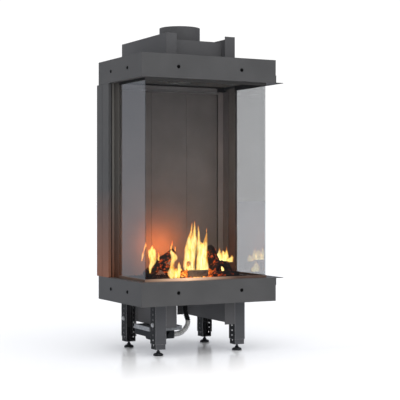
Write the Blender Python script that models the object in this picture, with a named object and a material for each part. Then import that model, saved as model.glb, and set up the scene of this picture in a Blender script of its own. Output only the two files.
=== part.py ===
"""Gas fireplace with glass on three sides: steel hood and base joined by the rear casing,
a concentric flue collar on top, and telescopic legs with levelling feet below.

Sizes are metres. u runs right and v runs back from the hood's left front corner, z up from the floor.
"""

import bisect
import math

import bmesh
import bpy
from mathutils import Vector

# Sheet metal and fits
SHEET = 0.002
THIN_SHEET = 0.0015
SEAT = 0.0003
OVERRUN = 0.006
JOIN = 0.000003

# Hood, base and the opening between them
BODY_WIDTH = 0.600
BODY_DEPTH = 0.422
HOOD_HEIGHT = 0.093
BASE_HEIGHT = 0.094
OPENING_HEIGHT = 0.790
LEG_SPACE = 0.204
AIR_PORT_WIDTH = 0.240
AIR_PORT_HEIGHT = 0.046

# Ledges on the right-hand side
LEDGE_OUT = 0.036
LEDGE_RISE = 0.030

# Glass and its channels
GLASS_INSET = 0.030
GLASS_THICK = 0.004
GLASS_PLAY = 0.00075
GLASS_LAP = 0.008
GLASS_TOP_ENTRY = 0.012
CHANNEL_PROUD = 0.010
CHANNEL_DEEP = 0.018

# Rear posts, columns and casing
POST_HOLD = 0.048
POST_WEB = 0.324
POST_STEP = 0.010
POST_REAR = 0.400
COLUMN_FRONT = 0.318
COLUMN_SEAM = 0.385
COLUMN_SEAM_GAP = 0.003
COLUMN_RETURN = 0.012
CASING_REAR = 0.440

# Chamber linings
LINER_PLANE = 0.370
LINER_WALL_INSET = 0.040
LINER_FLANGE = 0.025
LINER_GAP = 0.006
LINER_TOP_DROP = 0.0125
BACK_LINER_FOLD = 0.0137
CENTRE_LINER_WIDTH = 0.166
LINER_SEAM = 0.001
LINER_HEAD = 0.024
BACK_FLANGE = 0.0215
BACK_FLANGE_RISE = 0.017
RAIL_FACE = 0.366
RAIL_HEIGHT = 0.0185
RAIL_HEAD = 0.006
RAIL_LEDGE_OUT = 0.010
RAIL_LEDGE_DROP = 0.011
CEILING_RISE = 0.009
CEILING_EDGE = 0.015
CEILING_REAR = 0.360

# Flue
FLUE_V = 0.272
COLLAR_RADIUS = 0.084
COLLAR_RISE = 0.141
COLLAR_FLANGE = 0.014
SPIGOT_RADIUS = 0.050
SPIGOT_FLANGE = 0.012
SPIGOT_SETBACK = 0.010
FLUE_SIDES = 48

# Pressure-relief flap on the ceiling
RELIEF_V = 0.128
RELIEF_WIDTH = 0.110
RELIEF_DEPTH = 0.060
RELIEF_LAP = 0.010
KNUCKLE_RADIUS = 0.003
KNUCKLE_STEPS = 7

# Brackets above and below, and the plate between the upper ones
BRACKET_SPAN = 0.310
BRACKET_FRONT = 0.081
BRACKET_REAR = 0.512
BRACKET_CLEAR = 0.011
BRACKET_RISE = 0.0935
BRACKET_DROP = 0.095
DEFLECTOR_V = 0.107
DEFLECTOR_PLAY = 0.0005
DEFLECTOR_RISE = 0.072
DEFLECTOR_FOOT = 0.028

# Hearth, burner and embers
BED_SIDE = 0.075
BED_FRONT = 0.075
BED_REAR = 0.300
BED_DEEP = 0.038
BED_FIT = 0.001
BED_RIM = 0.010
EMBER_LEVEL = 0.0023
EMBER_RELIEF = 0.0022
EMBER_COLUMNS = 30
EMBER_ROWS = 15
EMBER_WAVES = (2.3, 1.1, 2.9, -0.7)
BLOCK_WIDTH = 0.092
BLOCK_FRONT = 0.105
BLOCK_DEPTH = 0.060
BLOCK_RISE = 0.0302
PORT_LENGTH = 0.016
PORT_WIDTH = 0.0025
PORT_COUNT = 7
PORT_PITCH = 0.012
PORT_ROW_PITCH = 0.0224
INLET_RADIUS = 0.010
INLET_LENGTH = 0.014

# Pilot
PILOT_U = 0.360
PILOT_PLATE_WIDTH = 0.044
PILOT_FOOT = 0.018
PILOT_RISE = 0.022
PILOT_SHELF = 0.022
PILOT_ROD_PITCH = 0.014
PILOT_RODS = ((0.006, 0.018), (0.002, 0.028), (0.0025, 0.024))

# Logs: routes are shares of the bed's width and depth and of the fire height
FIRE_HEIGHT = 0.140
LOG_SIDES = 12
LOG_RINGS = 11
LOG_BARK_SHARE = 0.10
LOG_END_SHARE = 0.72
LOG_AIM_SHARE = 0.02
LOG_SIDE_LEAN = (0.3, 1, 0.2)
BARK_RIDGES = 3
BARK_RIDGE_TWIST = 5
BARK_LUMPS = 2
BARK_LUMP_TWIST = 9
LEFT_LEANING_ROUTE_SHARES = ((0.03, 0.31, 0.05), (0.16, 0.35, 0.41), (0.305, 0.40, 0.72))
LEFT_LEANING_RADII = (0.0180, 0.0165, 0.0135)
LEFT_CROSS_ROUTE_SHARES = ((0.315, 0.36, 0.08), (0.26, 0.32, 0.20), (0.17, 0.24, 0.345))
LEFT_CROSS_RADII = (0.0175, 0.0170, 0.0145)
RIGHT_LEANING_ROUTE_SHARES = ((0.765, 0.40, -0.03), (0.71, 0.37, 0.48), (0.66, 0.34, 0.86))
RIGHT_LEANING_RADII = (0.0190, 0.0175, 0.0140)
RIGHT_ARCH_ROUTE_SHARES = (
    (0.675, 0.215, -0.04),
    (0.715, 0.225, 0.34),
    (0.79, 0.235, 0.47),
    (0.865, 0.245, 0.36),
    (0.885, 0.25, -0.04),
)
RIGHT_ARCH_RADII = (0.0130, 0.0120, 0.0125, 0.0120, 0.0135)
RIGHT_FRONT_ROUTE_SHARES = ((0.63, 0.075, 0.075), (0.76, 0.065, 0.085), (0.90, 0.080, 0.07))
RIGHT_FRONT_RADII = (0.0105, 0.0120, 0.0100)

# Legs and feet
LEG_SHEET = 0.0015
LEG_WIDTH = 0.046
LEG_DEPTH = 0.050
LEG_FRONT_V = 0.106
LEG_REAR_SETBACK = 0.0345
OUTER_LEG_FOOT = 0.046
INNER_LEG_FOOT = 0.0255
INNER_LEG_HEAD_DROP = 0.012
LEG_SLIDE = 0.0005
LEG_SETBACK = 0.004
HOLE_PITCH = 0.020
HOLE_FIRST = 0.062
HOLE_COUNT = 7
HOLE_RADIUS = 0.0034
HOLE_SIDES = 12
SLOT_FOOT = 0.052
SLOT_HEAD_DROP = 0.014
SLOT_WIDTH = 0.018
PAD_RADIUS = 0.020
PAD_EDGE = 0.004
PAD_HEIGHT = 0.012
PAD_NECK = 0.0075
PAD_DOME_SHARES = ((0.82, 0.42), (0.55, 0.80))
SPINDLE_RADIUS = 0.005
SPINDLE_TOP = 0.085
SPINDLE_FIT = 0.0005
NUT_RADIUS = 0.0085
NUT_HEIGHT = 0.005

# Gas control
TRAY_LEFT = 0.100
TRAY_WIDTH = 0.145
TRAY_FRONT = 0.141
TRAY_DEPTH = 0.146
TRAY_HEIGHT = 0.017
VALVE_LEFT = 0.103
VALVE_WIDTH = 0.110
VALVE_FRONT = 0.143
VALVE_DEPTH = 0.142
VALVE_NOSE = 0.037
VALVE_NOSE_HEIGHT = 0.033
VALVE_REAR_HEIGHT = 0.024
VALVE_ROUND = 0.003
KNOB_U = 0.185
KNOB_DROP = 0.0175
KNOB_RADIUS = 0.011
KNOB_LENGTH = 0.012
KNOB_CAP_ROUND = 0.0015
KNOB_GRIPS = 12
KNOB_GRIP_DEPTH = 0.0008
HOSE_RADIUS = 0.011
HOSE_ROOT = 0.0095
HOSE_BORE = 0.0075
HOSE_PITCH = 0.004
HOSE_U = 0.268
HOSE_V = 0.160
HOSE_FIT = 0.002
HOSE_STEPS = 6
# The hose's way round its bulge, as (to the right of HOSE_U, above the valve's outlet)
HOSE_SWING = (
    (-0.039, 0),
    (-0.022, 0.003),
    (-0.0065, 0.012),
    (0.006, 0.0255),
    (0.0125, 0.042),
    (0.0115, 0.0575),
    (0.0055, 0.074),
    (0.0015, 0.0905),
    (0, 0.109),
)

# Levels and planes that follow
BASE_TOP = LEG_SPACE + BASE_HEIGHT
HOOD_UNDER = BASE_TOP + OPENING_HEIGHT
HOOD_TOP = HOOD_UNDER + HOOD_HEIGHT
CENTRE_U = BODY_WIDTH / 2
BED_WIDTH = BODY_WIDTH - 2 * BED_SIDE
BRACKET_FLANGE = BRACKET_SPAN / 2 - COLLAR_RADIUS - COLLAR_FLANGE - BRACKET_CLEAR
DEFLECTOR_WIDTH = BRACKET_SPAN - 2 * (BRACKET_FLANGE + DEFLECTOR_PLAY)
POST_FRONT = POST_WEB - POST_HOLD
GLASS_REAR = POST_FRONT + GLASS_LAP
CHANNEL_OUT = GLASS_INSET - GLASS_PLAY - THIN_SHEET
CHANNEL_IN = GLASS_INSET + GLASS_THICK + GLASS_PLAY + THIN_SHEET
INNER_INSET = CHANNEL_IN + SEAT
GLASS_FOOT = BASE_TOP + SEAT + THIN_SHEET + SEAT
GLASS_HEAD = HOOD_UNDER - CHANNEL_PROUD + GLASS_TOP_ENTRY
HEARTH_TOP = BASE_TOP + SEAT + SHEET
LINER_TOP = HOOD_UNDER - LINER_TOP_DROP
BACK_PLANE = LINER_PLANE + BACK_LINER_FOLD + SEAT
LINER_LEFT = LINER_WALL_INSET + LINER_FLANGE + LINER_GAP
LINER_RIGHT = BODY_WIDTH - LINER_LEFT
CEILING = HOOD_UNDER + CEILING_RISE
BRACKET_LEFT = CENTRE_U - BRACKET_SPAN / 2
BRACKET_RIGHT = CENTRE_U + BRACKET_SPAN / 2
BRACKET_UNDER = LEG_SPACE - BRACKET_DROP
LEG_REAR_V = BODY_DEPTH - LEG_REAR_SETBACK
BED_LEFT = BED_SIDE
BED_RIGHT = BODY_WIDTH - BED_SIDE
BED_FLOOR = HEARTH_TOP + SEAT - BED_DEEP
EMBER_TOP = HEARTH_TOP + EMBER_LEVEL
TRAY_UNDER = BRACKET_UNDER - SEAT - TRAY_HEIGHT
HOSE_Z = TRAY_UNDER - SEAT - KNOB_DROP
TOTAL_WIDTH = BODY_WIDTH + LEDGE_OUT
TOTAL_DEPTH = BRACKET_REAR

AXES = {"U": Vector((1, 0, 0)), "V": Vector((0, 1, 0)), "Z": Vector((0, 0, 1))}

# Name: base colour, metallic, roughness
FINISHES = {
    "grey_enamel_steel": ((0.105, 0.107, 0.110), 0.15, 0.48),
    "chamber_enamel": ((0.062, 0.058, 0.056), 0.10, 0.62),
    "galvanised_steel": ((0.55, 0.56, 0.58), 0.90, 0.42),
    "stainless_steel": ((0.60, 0.60, 0.59), 1.00, 0.28),
    "ceramic_glass": ((0.45, 0.47, 0.50), 0.0, 0.04),
    "black_polymer": ((0.014, 0.015, 0.016), 0.0, 0.50),
    "ceramic_fibre": ((0.055, 0.036, 0.026), 0.0, 0.90),
    "ember_granules": ((0.30, 0.10, 0.035), 0.0, 0.88),
    "burner_steel": ((0.120, 0.112, 0.108), 0.35, 0.60),
}


def clear_scene():
    for item in list(bpy.data.objects):
        bpy.data.objects.remove(item, do_unlink=True)


def make_finish(name):
    colour, metallic, roughness = FINISHES[name]
    material = bpy.data.materials.new(name)
    material.use_nodes = True
    shader = material.node_tree.nodes["Principled BSDF"]
    shader.inputs["Base Color"].default_value = (*colour, 1)
    shader.inputs["Metallic"].default_value = metallic
    shader.inputs["Roughness"].default_value = roughness
    if name == "ceramic_glass":
        shader.inputs["Transmission Weight"].default_value = 1
    return material


def make_frame():
    """An empty at the hood's left front corner on the floor. The part's origin is under its box's middle."""
    frame = bpy.data.objects.new("fireplace_frame", None)
    frame.location = (-TOTAL_WIDTH / 2, -TOTAL_DEPTH / 2, 0)
    bpy.context.scene.collection.objects.link(frame)
    return frame


def add_piece(name, bm, finish, parent, origin=None):
    """Turns a bmesh in fireplace coordinates into an object whose own origin is the point given."""
    bmesh.ops.recalc_face_normals(bm, faces=bm.faces)
    if origin is None:
        origin = Vector([min(vert.co[i] for vert in bm.verts) for i in range(3)])
    origin = Vector(origin)
    bmesh.ops.translate(bm, verts=bm.verts, vec=-origin)
    mesh = bpy.data.meshes.new(name)
    bm.to_mesh(mesh)
    bm.free()
    piece = bpy.data.objects.new(name, mesh)
    bpy.context.scene.collection.objects.link(piece)
    piece.parent = parent
    piece.location = origin
    if finish:
        piece.data.materials.append(finish)
    return piece


def add_child(name, bm, finish, parent, origin):
    """A piece that rides on another one, such as a foot on its leg."""
    piece = add_piece(name, bm, finish, parent, origin)
    piece.location = Vector(origin) - parent.location
    return piece


def add_cutter(name, bm, frame):
    cutter = add_piece(name, bm, None, frame)
    cutter.hide_render = True
    cutter.display_type = "WIRE"
    return cutter


def boolean(piece, other, operation="DIFFERENCE"):
    modifier = piece.modifiers.new(other.name, "BOOLEAN")
    modifier.operation = operation
    modifier.object = other
    modifier.solver = "EXACT"


def soften(piece, width, segments=1):
    modifier = piece.modifiers.new("edge", "BEVEL")
    modifier.width = width
    modifier.segments = segments
    modifier.limit_method = "ANGLE"


def shade_round(piece):
    piece.data.shade_smooth()
    piece.data.set_sharp_from_angle(angle=math.radians(35))


def spread(a, b, level, axis):
    """The point of a section (a, b) at a level along its axis."""
    if axis == "U":
        return Vector((level, a, b))
    if axis == "V":
        return Vector((a, level, b))
    return Vector((a, b, level))


def prism(outline, axis, low, high):
    """Extrudes a closed outline along one axis. On U it is (v, z), on V (u, z), on Z (u, v)."""
    bm = bmesh.new()
    face = bm.faces.new([bm.verts.new(spread(a, b, low, axis)) for a, b in outline])
    grown = bmesh.ops.extrude_face_region(bm, geom=[face], use_keep_orig=True)
    moved = [item for item in grown["geom"] if isinstance(item, bmesh.types.BMVert)]
    bmesh.ops.translate(bm, verts=moved, vec=AXES[axis] * (high - low))
    return bm


def block(low, high):
    outline = ((low[0], low[1]), (high[0], low[1]), (high[0], high[1]), (low[0], high[1]))
    return prism(outline, "Z", low[2], high[2])


def folded(path, thickness):
    """The closed outline of a sheet folded along a path, with its thickness on the path's left."""
    points = [Vector(point) for point in path]
    runs = [(second - first).normalized() for first, second in zip(points, points[1:])]
    sides = [Vector((-run.y, run.x)) for run in runs]
    inner = [points[0] + sides[0] * thickness]
    for corner, before, after in zip(points[1:-1], sides, sides[1:]):
        inner.append(corner + (before + after) * thickness / (1 + before.dot(after)))
    inner.append(points[-1] + sides[-1] * thickness)
    return [tuple(point) for point in points + inner[::-1]]


def mirrored(outline):
    """The same section on the fireplace's other side."""
    return [(BODY_WIDTH - u, v) for u, v in outline]


def dish(low, high, axis, levels):
    """A rectangular pressing: closed rings of four corners, each at an inset and a level, capped at both ends."""
    bm = bmesh.new()
    rings = []
    for inset, level in levels:
        corners = (
            (low[0] + inset, low[1] + inset),
            (high[0] - inset, low[1] + inset),
            (high[0] - inset, high[1] - inset),
            (low[0] + inset, high[1] - inset),
        )
        rings.append([bm.verts.new(spread(a, b, level, axis)) for a, b in corners])
    join_rings(bm, rings)
    return bm


def join_rings(bm, rings):
    """Quads between each ring and the next, and a cap on the first and the last."""
    for ring, after in zip(rings, rings[1:]):
        count = len(ring)
        for i in range(count):
            bm.faces.new((ring[i], ring[(i + 1) % count], after[(i + 1) % count], after[i]))
    bm.faces.new(rings[0][::-1])
    bm.faces.new(rings[-1])


def three_sided(section, rear):
    """Carries a closed (inset, z) section round the left, front and right sides, mitred at the corners."""
    bm = bmesh.new()
    rings = []
    for station in range(4):
        ring = []
        for inset, z in section:
            u = inset if station < 2 else BODY_WIDTH - inset
            v = inset if station in (1, 2) else rear
            ring.append(bm.verts.new((u, v, z)))
        rings.append(ring)
    join_rings(bm, rings)
    return bm


def turned(profile, sides, centre, axis="Z", closed=False):
    """Spins a (radius, height) profile about an axis through the centre."""
    bm = bmesh.new()
    verts = [bm.verts.new((radius, 0, height)) for radius, height in profile]
    pairs = list(zip(verts, verts[1:]))
    if closed:
        pairs.append((verts[-1], verts[0]))
    edges = [bm.edges.new(pair) for pair in pairs]
    bmesh.ops.spin(
        bm,
        geom=verts + edges,
        cent=(0, 0, 0),
        axis=(0, 0, 1),
        angle=math.tau,
        steps=sides,
        use_merge=True,
    )
    bmesh.ops.remove_doubles(bm, verts=bm.verts, dist=JOIN)
    turn = Vector((0, 0, 1)).rotation_difference(Vector(axis) if axis != "Z" else AXES["Z"])
    bmesh.ops.rotate(bm, verts=bm.verts, cent=(0, 0, 0), matrix=turn.to_matrix())
    bmesh.ops.translate(bm, verts=bm.verts, vec=Vector(centre))
    return bm


def rod(radius, length, sides, centre, axis="Z"):
    return turned(((0, 0), (radius, 0), (radius, length), (0, length)), sides, centre, axis)


def merged(parts):
    """Puts several separate bodies into one bmesh."""
    whole = bmesh.new()
    for part in parts:
        holder = bpy.data.meshes.new("holder")
        part.to_mesh(holder)
        part.free()
        whole.from_mesh(holder)
        bpy.data.meshes.remove(holder)
    return whole


def make_hood(frame, steel):
    lip = CHANNEL_OUT - SEAT
    levels = (
        (0, HOOD_TOP),
        (0, HOOD_UNDER),
        (lip, HOOD_UNDER),
        (lip, HOOD_UNDER + SHEET),
        (SHEET, HOOD_UNDER + SHEET),
        (SHEET, HOOD_TOP - SHEET),
    )
    hood = add_piece("hood_shell", dish((0, 0), (BODY_WIDTH, BODY_DEPTH), "Z", levels), steel, frame)
    flue_hole = rod(
        COLLAR_RADIUS - THIN_SHEET, SHEET + 2 * OVERRUN, FLUE_SIDES, (CENTRE_U, FLUE_V, HOOD_TOP - SHEET - OVERRUN)
    )
    boolean(hood, add_cutter("flue_hole_cutter", flue_hole, frame))
    boolean(hood, air_port_cutter("hood_air_port_cutter", (HOOD_UNDER + HOOD_TOP) / 2, frame))


def air_port_cutter(name, middle, frame):
    low = (CENTRE_U - AIR_PORT_WIDTH / 2, BODY_DEPTH - SHEET - OVERRUN, middle - AIR_PORT_HEIGHT / 2)
    high = (CENTRE_U + AIR_PORT_WIDTH / 2, BODY_DEPTH + OVERRUN, middle + AIR_PORT_HEIGHT / 2)
    return add_cutter(name, block(low, high), frame)


def make_base(frame, steel):
    levels = ((0, BASE_TOP), (0, LEG_SPACE), (SHEET, LEG_SPACE), (SHEET, BASE_TOP - SHEET))
    base = add_piece("base_shell", dish((0, 0), (BODY_WIDTH, BODY_DEPTH), "Z", levels), steel, frame)
    bed_hole = block(
        (BED_LEFT - BED_FIT, BED_FRONT - BED_FIT, BASE_TOP - SHEET - OVERRUN),
        (BED_RIGHT + BED_FIT, BED_REAR + BED_FIT, BASE_TOP + OVERRUN),
    )
    boolean(base, add_cutter("base_bed_cutter", bed_hole, frame))
    boolean(base, air_port_cutter("base_air_port_cutter", (LEG_SPACE + BASE_TOP) / 2, frame))


def make_base_floor(frame, steel):
    edge = SHEET + SEAT
    plate = block((edge, edge, LEG_SPACE), (BODY_WIDTH - edge, BODY_DEPTH - edge, LEG_SPACE + SHEET))
    floor = add_piece("base_floor", plate, steel, frame)
    hose_hole = rod(
        HOSE_RADIUS + HOSE_FIT, SHEET + 2 * OVERRUN, FLUE_SIDES // 2, (HOSE_U, HOSE_V, LEG_SPACE - OVERRUN)
    )
    boolean(floor, add_cutter("hose_hole_cutter", hose_hole, frame))


def make_ledge(name, level, rise, frame, steel):
    """An angle on the right side: a ledge that stands out, and a leg against the shell's side."""
    side = BODY_WIDTH + SEAT
    path = [(BODY_WIDTH + LEDGE_OUT, level), (side, level), (side, level + rise)]
    if rise > 0:
        path = path[::-1]
    outline = folded(path, SHEET)
    add_piece(name, prism(outline, "V", 0, BODY_DEPTH), steel, frame)


def make_glass(frame, glass):
    front = block(
        (GLASS_INSET, GLASS_INSET, GLASS_FOOT),
        (BODY_WIDTH - GLASS_INSET, GLASS_INSET + GLASS_THICK, GLASS_HEAD),
    )
    add_piece("front_glass", front, glass, frame)
    side_front = GLASS_INSET + GLASS_THICK + 2 * SEAT
    for name, left in (("left_glass", GLASS_INSET), ("right_glass", BODY_WIDTH - GLASS_INSET - GLASS_THICK)):
        pane = block((left, side_front, GLASS_FOOT), (left + GLASS_THICK, GLASS_REAR, GLASS_HEAD))
        add_piece(name, pane, glass, frame)


def make_channels(frame, steel):
    """U channels: the lower one holds the panes' feet, and the upper one leaves room to lift the front pane."""
    slot_out = CHANNEL_OUT + THIN_SHEET
    slot_in = CHANNEL_IN - THIN_SHEET
    rear = POST_FRONT - SEAT
    runs = (
        ("lower_glass_channel", BASE_TOP + SEAT, BASE_TOP + CHANNEL_PROUD, THIN_SHEET),
        ("upper_glass_channel", HOOD_UNDER + CHANNEL_DEEP, HOOD_UNDER - CHANNEL_PROUD, -THIN_SHEET),
    )
    for name, web, lip, thickness in runs:
        section = (
            (CHANNEL_OUT, web),
            (CHANNEL_OUT, lip),
            (slot_out, lip),
            (slot_out, web + thickness),
            (slot_in, web + thickness),
            (slot_in, lip),
            (CHANNEL_IN, lip),
            (CHANNEL_IN, web),
        )
        add_piece(name, three_sided(section, rear), steel, frame)


def make_posts(frame, steel):
    """A post holds the rear edge of a side pane and steps outwards behind it."""
    slot_out = CHANNEL_OUT + THIN_SHEET
    slot_in = CHANNEL_IN - THIN_SHEET
    step = CHANNEL_OUT - POST_STEP
    outline = (
        (CHANNEL_OUT, POST_FRONT),
        (CHANNEL_OUT, POST_WEB),
        (step, POST_WEB),
        (step, POST_REAR),
        (step + THIN_SHEET, POST_REAR),
        (step + THIN_SHEET, POST_WEB + THIN_SHEET),
        (CHANNEL_IN, POST_WEB + THIN_SHEET),
        (CHANNEL_IN, POST_FRONT),
        (slot_in, POST_FRONT),
        (slot_in, POST_WEB),
        (slot_out, POST_WEB),
        (slot_out, POST_FRONT),
    )
    foot = BASE_TOP + SEAT
    head = HOOD_UNDER - SEAT
    add_piece("glass_post_left", prism(outline, "Z", foot, head), steel, frame)
    add_piece("glass_post_right", prism(mirrored(outline), "Z", foot, head), steel, frame)


def make_columns(frame, steel):
    """Folded outer columns, and the casing that wraps the back behind them."""
    foot = BASE_TOP + SEAT
    head = HOOD_UNDER - SEAT
    path = (
        (0, COLUMN_SEAM - COLUMN_SEAM_GAP / 2),
        (0, COLUMN_FRONT),
        (COLUMN_RETURN, COLUMN_FRONT),
        (COLUMN_RETURN, COLUMN_FRONT + COLUMN_RETURN),
    )
    outline = folded(path, THIN_SHEET)
    add_piece("side_column_left", prism(outline, "Z", foot, head), steel, frame)
    add_piece("side_column_right", prism(mirrored(outline), "Z", foot, head), steel, frame)
    casing = (
        (BODY_WIDTH, COLUMN_SEAM + COLUMN_SEAM_GAP / 2),
        (BODY_WIDTH, CASING_REAR),
        (0, CASING_REAR),
        (0, COLUMN_SEAM + COLUMN_SEAM_GAP / 2),
    )
    add_piece("rear_casing", prism(folded(casing, THIN_SHEET), "Z", foot, head), steel, frame)


def make_linings(frame, enamel):
    foot = HEARTH_TOP + SEAT
    side_path = (
        (LINER_WALL_INSET, POST_WEB + THIN_SHEET + SEAT),
        (LINER_WALL_INSET, LINER_PLANE),
        (LINER_WALL_INSET + LINER_FLANGE, LINER_PLANE),
        (LINER_WALL_INSET + LINER_FLANGE, BACK_PLANE - SEAT),
    )
    outline = folded(side_path, THIN_SHEET)
    add_piece("side_liner_left", prism(outline, "Z", foot, LINER_TOP), enamel, frame)
    add_piece("side_liner_right", prism(mirrored(outline), "Z", foot, LINER_TOP), enamel, frame)
    centre_left = CENTRE_U - CENTRE_LINER_WIDTH / 2
    centre_right = CENTRE_U + CENTRE_LINER_WIDTH / 2
    spans = (
        ("back_liner_left", LINER_LEFT, centre_left - LINER_SEAM / 2),
        ("back_liner_centre", centre_left + LINER_SEAM / 2, centre_right - LINER_SEAM / 2),
        ("back_liner_right", centre_right + LINER_SEAM / 2, LINER_RIGHT),
    )
    for name, left, right in spans:
        path = (
            (left, BACK_PLANE - SEAT),
            (left, LINER_PLANE),
            (right, LINER_PLANE),
            (right, BACK_PLANE - SEAT),
        )
        panel = prism(folded(path, THIN_SHEET), "Z", foot, HOOD_UNDER - LINER_HEAD)
        add_piece(name, panel, enamel, frame)


def make_chamber_back(frame, enamel):
    """The sheet behind the linings, folded forward over their tops and notched for the hood's lip."""
    edge = CHANNEL_OUT - POST_STEP + THIN_SHEET + SEAT
    top = HOOD_UNDER + BACK_FLANGE_RISE
    path = (
        (BACK_PLANE - BACK_FLANGE, top),
        (BACK_PLANE, top),
        (BACK_PLANE, BASE_TOP + SEAT),
    )
    sheet = prism(folded(path, THIN_SHEET), "U", edge, BODY_WIDTH - edge)
    back = add_piece("chamber_back", sheet, enamel, frame)
    front = BACK_PLANE - BACK_FLANGE - OVERRUN
    corners = [
        block(
            (u - CHANNEL_OUT, front, HOOD_UNDER - SEAT),
            (u + CHANNEL_OUT, BACK_PLANE + THIN_SHEET + OVERRUN, top + OVERRUN),
        )
        for u in (0, BODY_WIDTH)
    ]
    boolean(back, add_cutter("hood_lip_notch_cutter", merged(corners), frame))


def make_top_rail(frame, enamel):
    """The rail above the back panels: a face, then a ledge that leans out below it."""
    head = HOOD_UNDER + RAIL_HEAD
    face_foot = head - RAIL_HEIGHT
    ledge_foot = face_foot - RAIL_LEDGE_DROP
    path = (
        (BACK_PLANE - SEAT, head),
        (RAIL_FACE, head),
        (RAIL_FACE, face_foot),
        (RAIL_FACE - RAIL_LEDGE_OUT, ledge_foot),
        (LINER_PLANE - SEAT, ledge_foot),
    )
    rail = prism(folded(path, THIN_SHEET), "U", LINER_LEFT, LINER_RIGHT)
    add_piece("top_rail", rail, enamel, frame)


def make_ceiling(frame, enamel):
    levels = (
        (0, CEILING),
        (0, CEILING + CEILING_EDGE),
        (THIN_SHEET, CEILING + CEILING_EDGE),
        (THIN_SHEET, CEILING + THIN_SHEET),
    )
    panel = dish((INNER_INSET, INNER_INSET), (BODY_WIDTH - INNER_INSET, CEILING_REAR), "Z", levels)
    ceiling = add_piece("ceiling_panel", panel, enamel, frame)
    exhaust = rod(
        SPIGOT_RADIUS - THIN_SHEET,
        THIN_SHEET + 2 * OVERRUN,
        FLUE_SIDES,
        (CENTRE_U, FLUE_V, CEILING - OVERRUN),
    )
    boolean(ceiling, add_cutter("exhaust_hole_cutter", exhaust, frame))
    relief = block(
        (CENTRE_U - RELIEF_WIDTH / 2, RELIEF_V - RELIEF_DEPTH / 2, CEILING - OVERRUN),
        (CENTRE_U + RELIEF_WIDTH / 2, RELIEF_V + RELIEF_DEPTH / 2, CEILING + THIN_SHEET + OVERRUN),
    )
    boolean(ceiling, add_cutter("relief_hole_cutter", relief, frame))


def make_relief_flap(frame, steel):
    """A plate rolled round its hinge at the rear edge. It lies shut under its own weight."""
    hinge_v = RELIEF_V + RELIEF_DEPTH / 2 + RELIEF_LAP
    foot = CEILING + THIN_SHEET + SEAT
    centre = Vector((hinge_v, foot + KNUCKLE_RADIUS))
    last = math.pi + math.asin((KNUCKLE_RADIUS - THIN_SHEET) / KNUCKLE_RADIUS)
    outline = [(RELIEF_V - RELIEF_DEPTH / 2 - RELIEF_LAP, foot)]
    for step in range(KNUCKLE_STEPS + 1):
        angle = -math.pi / 2 + (last + math.pi / 2) * step / KNUCKLE_STEPS
        outline.append(tuple(centre + KNUCKLE_RADIUS * Vector((math.cos(angle), math.sin(angle)))))
    outline.append((outline[0][0], foot + THIN_SHEET))
    half = RELIEF_WIDTH / 2 + RELIEF_LAP
    flap = prism(outline, "U", CENTRE_U - half, CENTRE_U + half)
    add_piece("relief_flap", flap, steel, frame, (CENTRE_U, centre.x, centre.y))


def make_flue(frame, steel, stainless):
    """The outer air collar and the exhaust pipe inside it, each with a flange ring round its foot."""
    foot = HOOD_TOP + SEAT
    head = HOOD_TOP + COLLAR_RISE
    low = CEILING + THIN_SHEET + SEAT
    rings = (
        ("flue_collar", COLLAR_RADIUS - THIN_SHEET, COLLAR_RADIUS, foot, head, steel),
        ("collar_ring", COLLAR_RADIUS + SEAT, COLLAR_RADIUS + COLLAR_FLANGE, foot, foot + SHEET, steel),
        ("exhaust_spigot", SPIGOT_RADIUS - THIN_SHEET, SPIGOT_RADIUS, low, head - SPIGOT_SETBACK, stainless),
        ("spigot_ring", SPIGOT_RADIUS + SEAT, SPIGOT_RADIUS + SPIGOT_FLANGE, low, low + SHEET, stainless),
    )
    for name, inner, outer, bottom, top, finish in rings:
        profile = ((inner, bottom), (outer, bottom), (outer, top), (inner, top))
        ring = turned(profile, FLUE_SIDES, (CENTRE_U, FLUE_V, 0), closed=True)
        shade_round(add_piece(name, ring, finish, frame, (CENTRE_U, FLUE_V, bottom)))


def make_bracket(name, left_side, foot, head, frame, steel, plain_edge=None):
    """A side plate with its edges folded towards the middle, all but the plain edge where one is named."""
    outer = BRACKET_LEFT if left_side else BRACKET_RIGHT
    inwards = 1 if left_side else -1
    levels = (
        (0, outer),
        (0, outer + inwards * BRACKET_FLANGE),
        (SHEET, outer + inwards * BRACKET_FLANGE),
        (SHEET, outer + inwards * SHEET),
    )
    bracket = add_piece(name, dish((BRACKET_FRONT, foot), (BRACKET_REAR, head), "U", levels), steel, frame)
    if plain_edge is None:
        return
    folds = sorted((outer + inwards * SHEET, outer + inwards * (BRACKET_FLANGE + OVERRUN)))
    edges = {"top": (head - SHEET, head + OVERRUN), "bottom": (foot - OVERRUN, foot + SHEET)}[plain_edge]
    fold = block(
        (folds[0], BRACKET_FRONT + SHEET, edges[0]),
        (folds[1], BRACKET_REAR - SHEET, edges[1]),
    )
    boolean(bracket, add_cutter(f"{name}_fold_cutter", fold, frame))


def make_brackets(frame, steel):
    for side in ("left", "right"):
        is_left = side == "left"
        head = HOOD_TOP + BRACKET_RISE
        make_bracket(f"top_bracket_{side}", is_left, HOOD_TOP + SEAT, head, frame, steel, "top")
        plain_edge = None if is_left else "bottom"
        make_bracket(f"bottom_bracket_{side}", is_left, BRACKET_UNDER, LEG_SPACE - SEAT, frame, steel, plain_edge)


def make_deflector(frame, steel):
    foot = HOOD_TOP + SEAT
    path = (
        (DEFLECTOR_V, HOOD_TOP + DEFLECTOR_RISE),
        (DEFLECTOR_V, foot),
        (DEFLECTOR_V + DEFLECTOR_FOOT, foot),
    )
    half = DEFLECTOR_WIDTH / 2
    plate = prism(folded(path, SHEET), "U", CENTRE_U - half, CENTRE_U + half)
    add_piece("air_deflector", plate, steel, frame)


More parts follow.
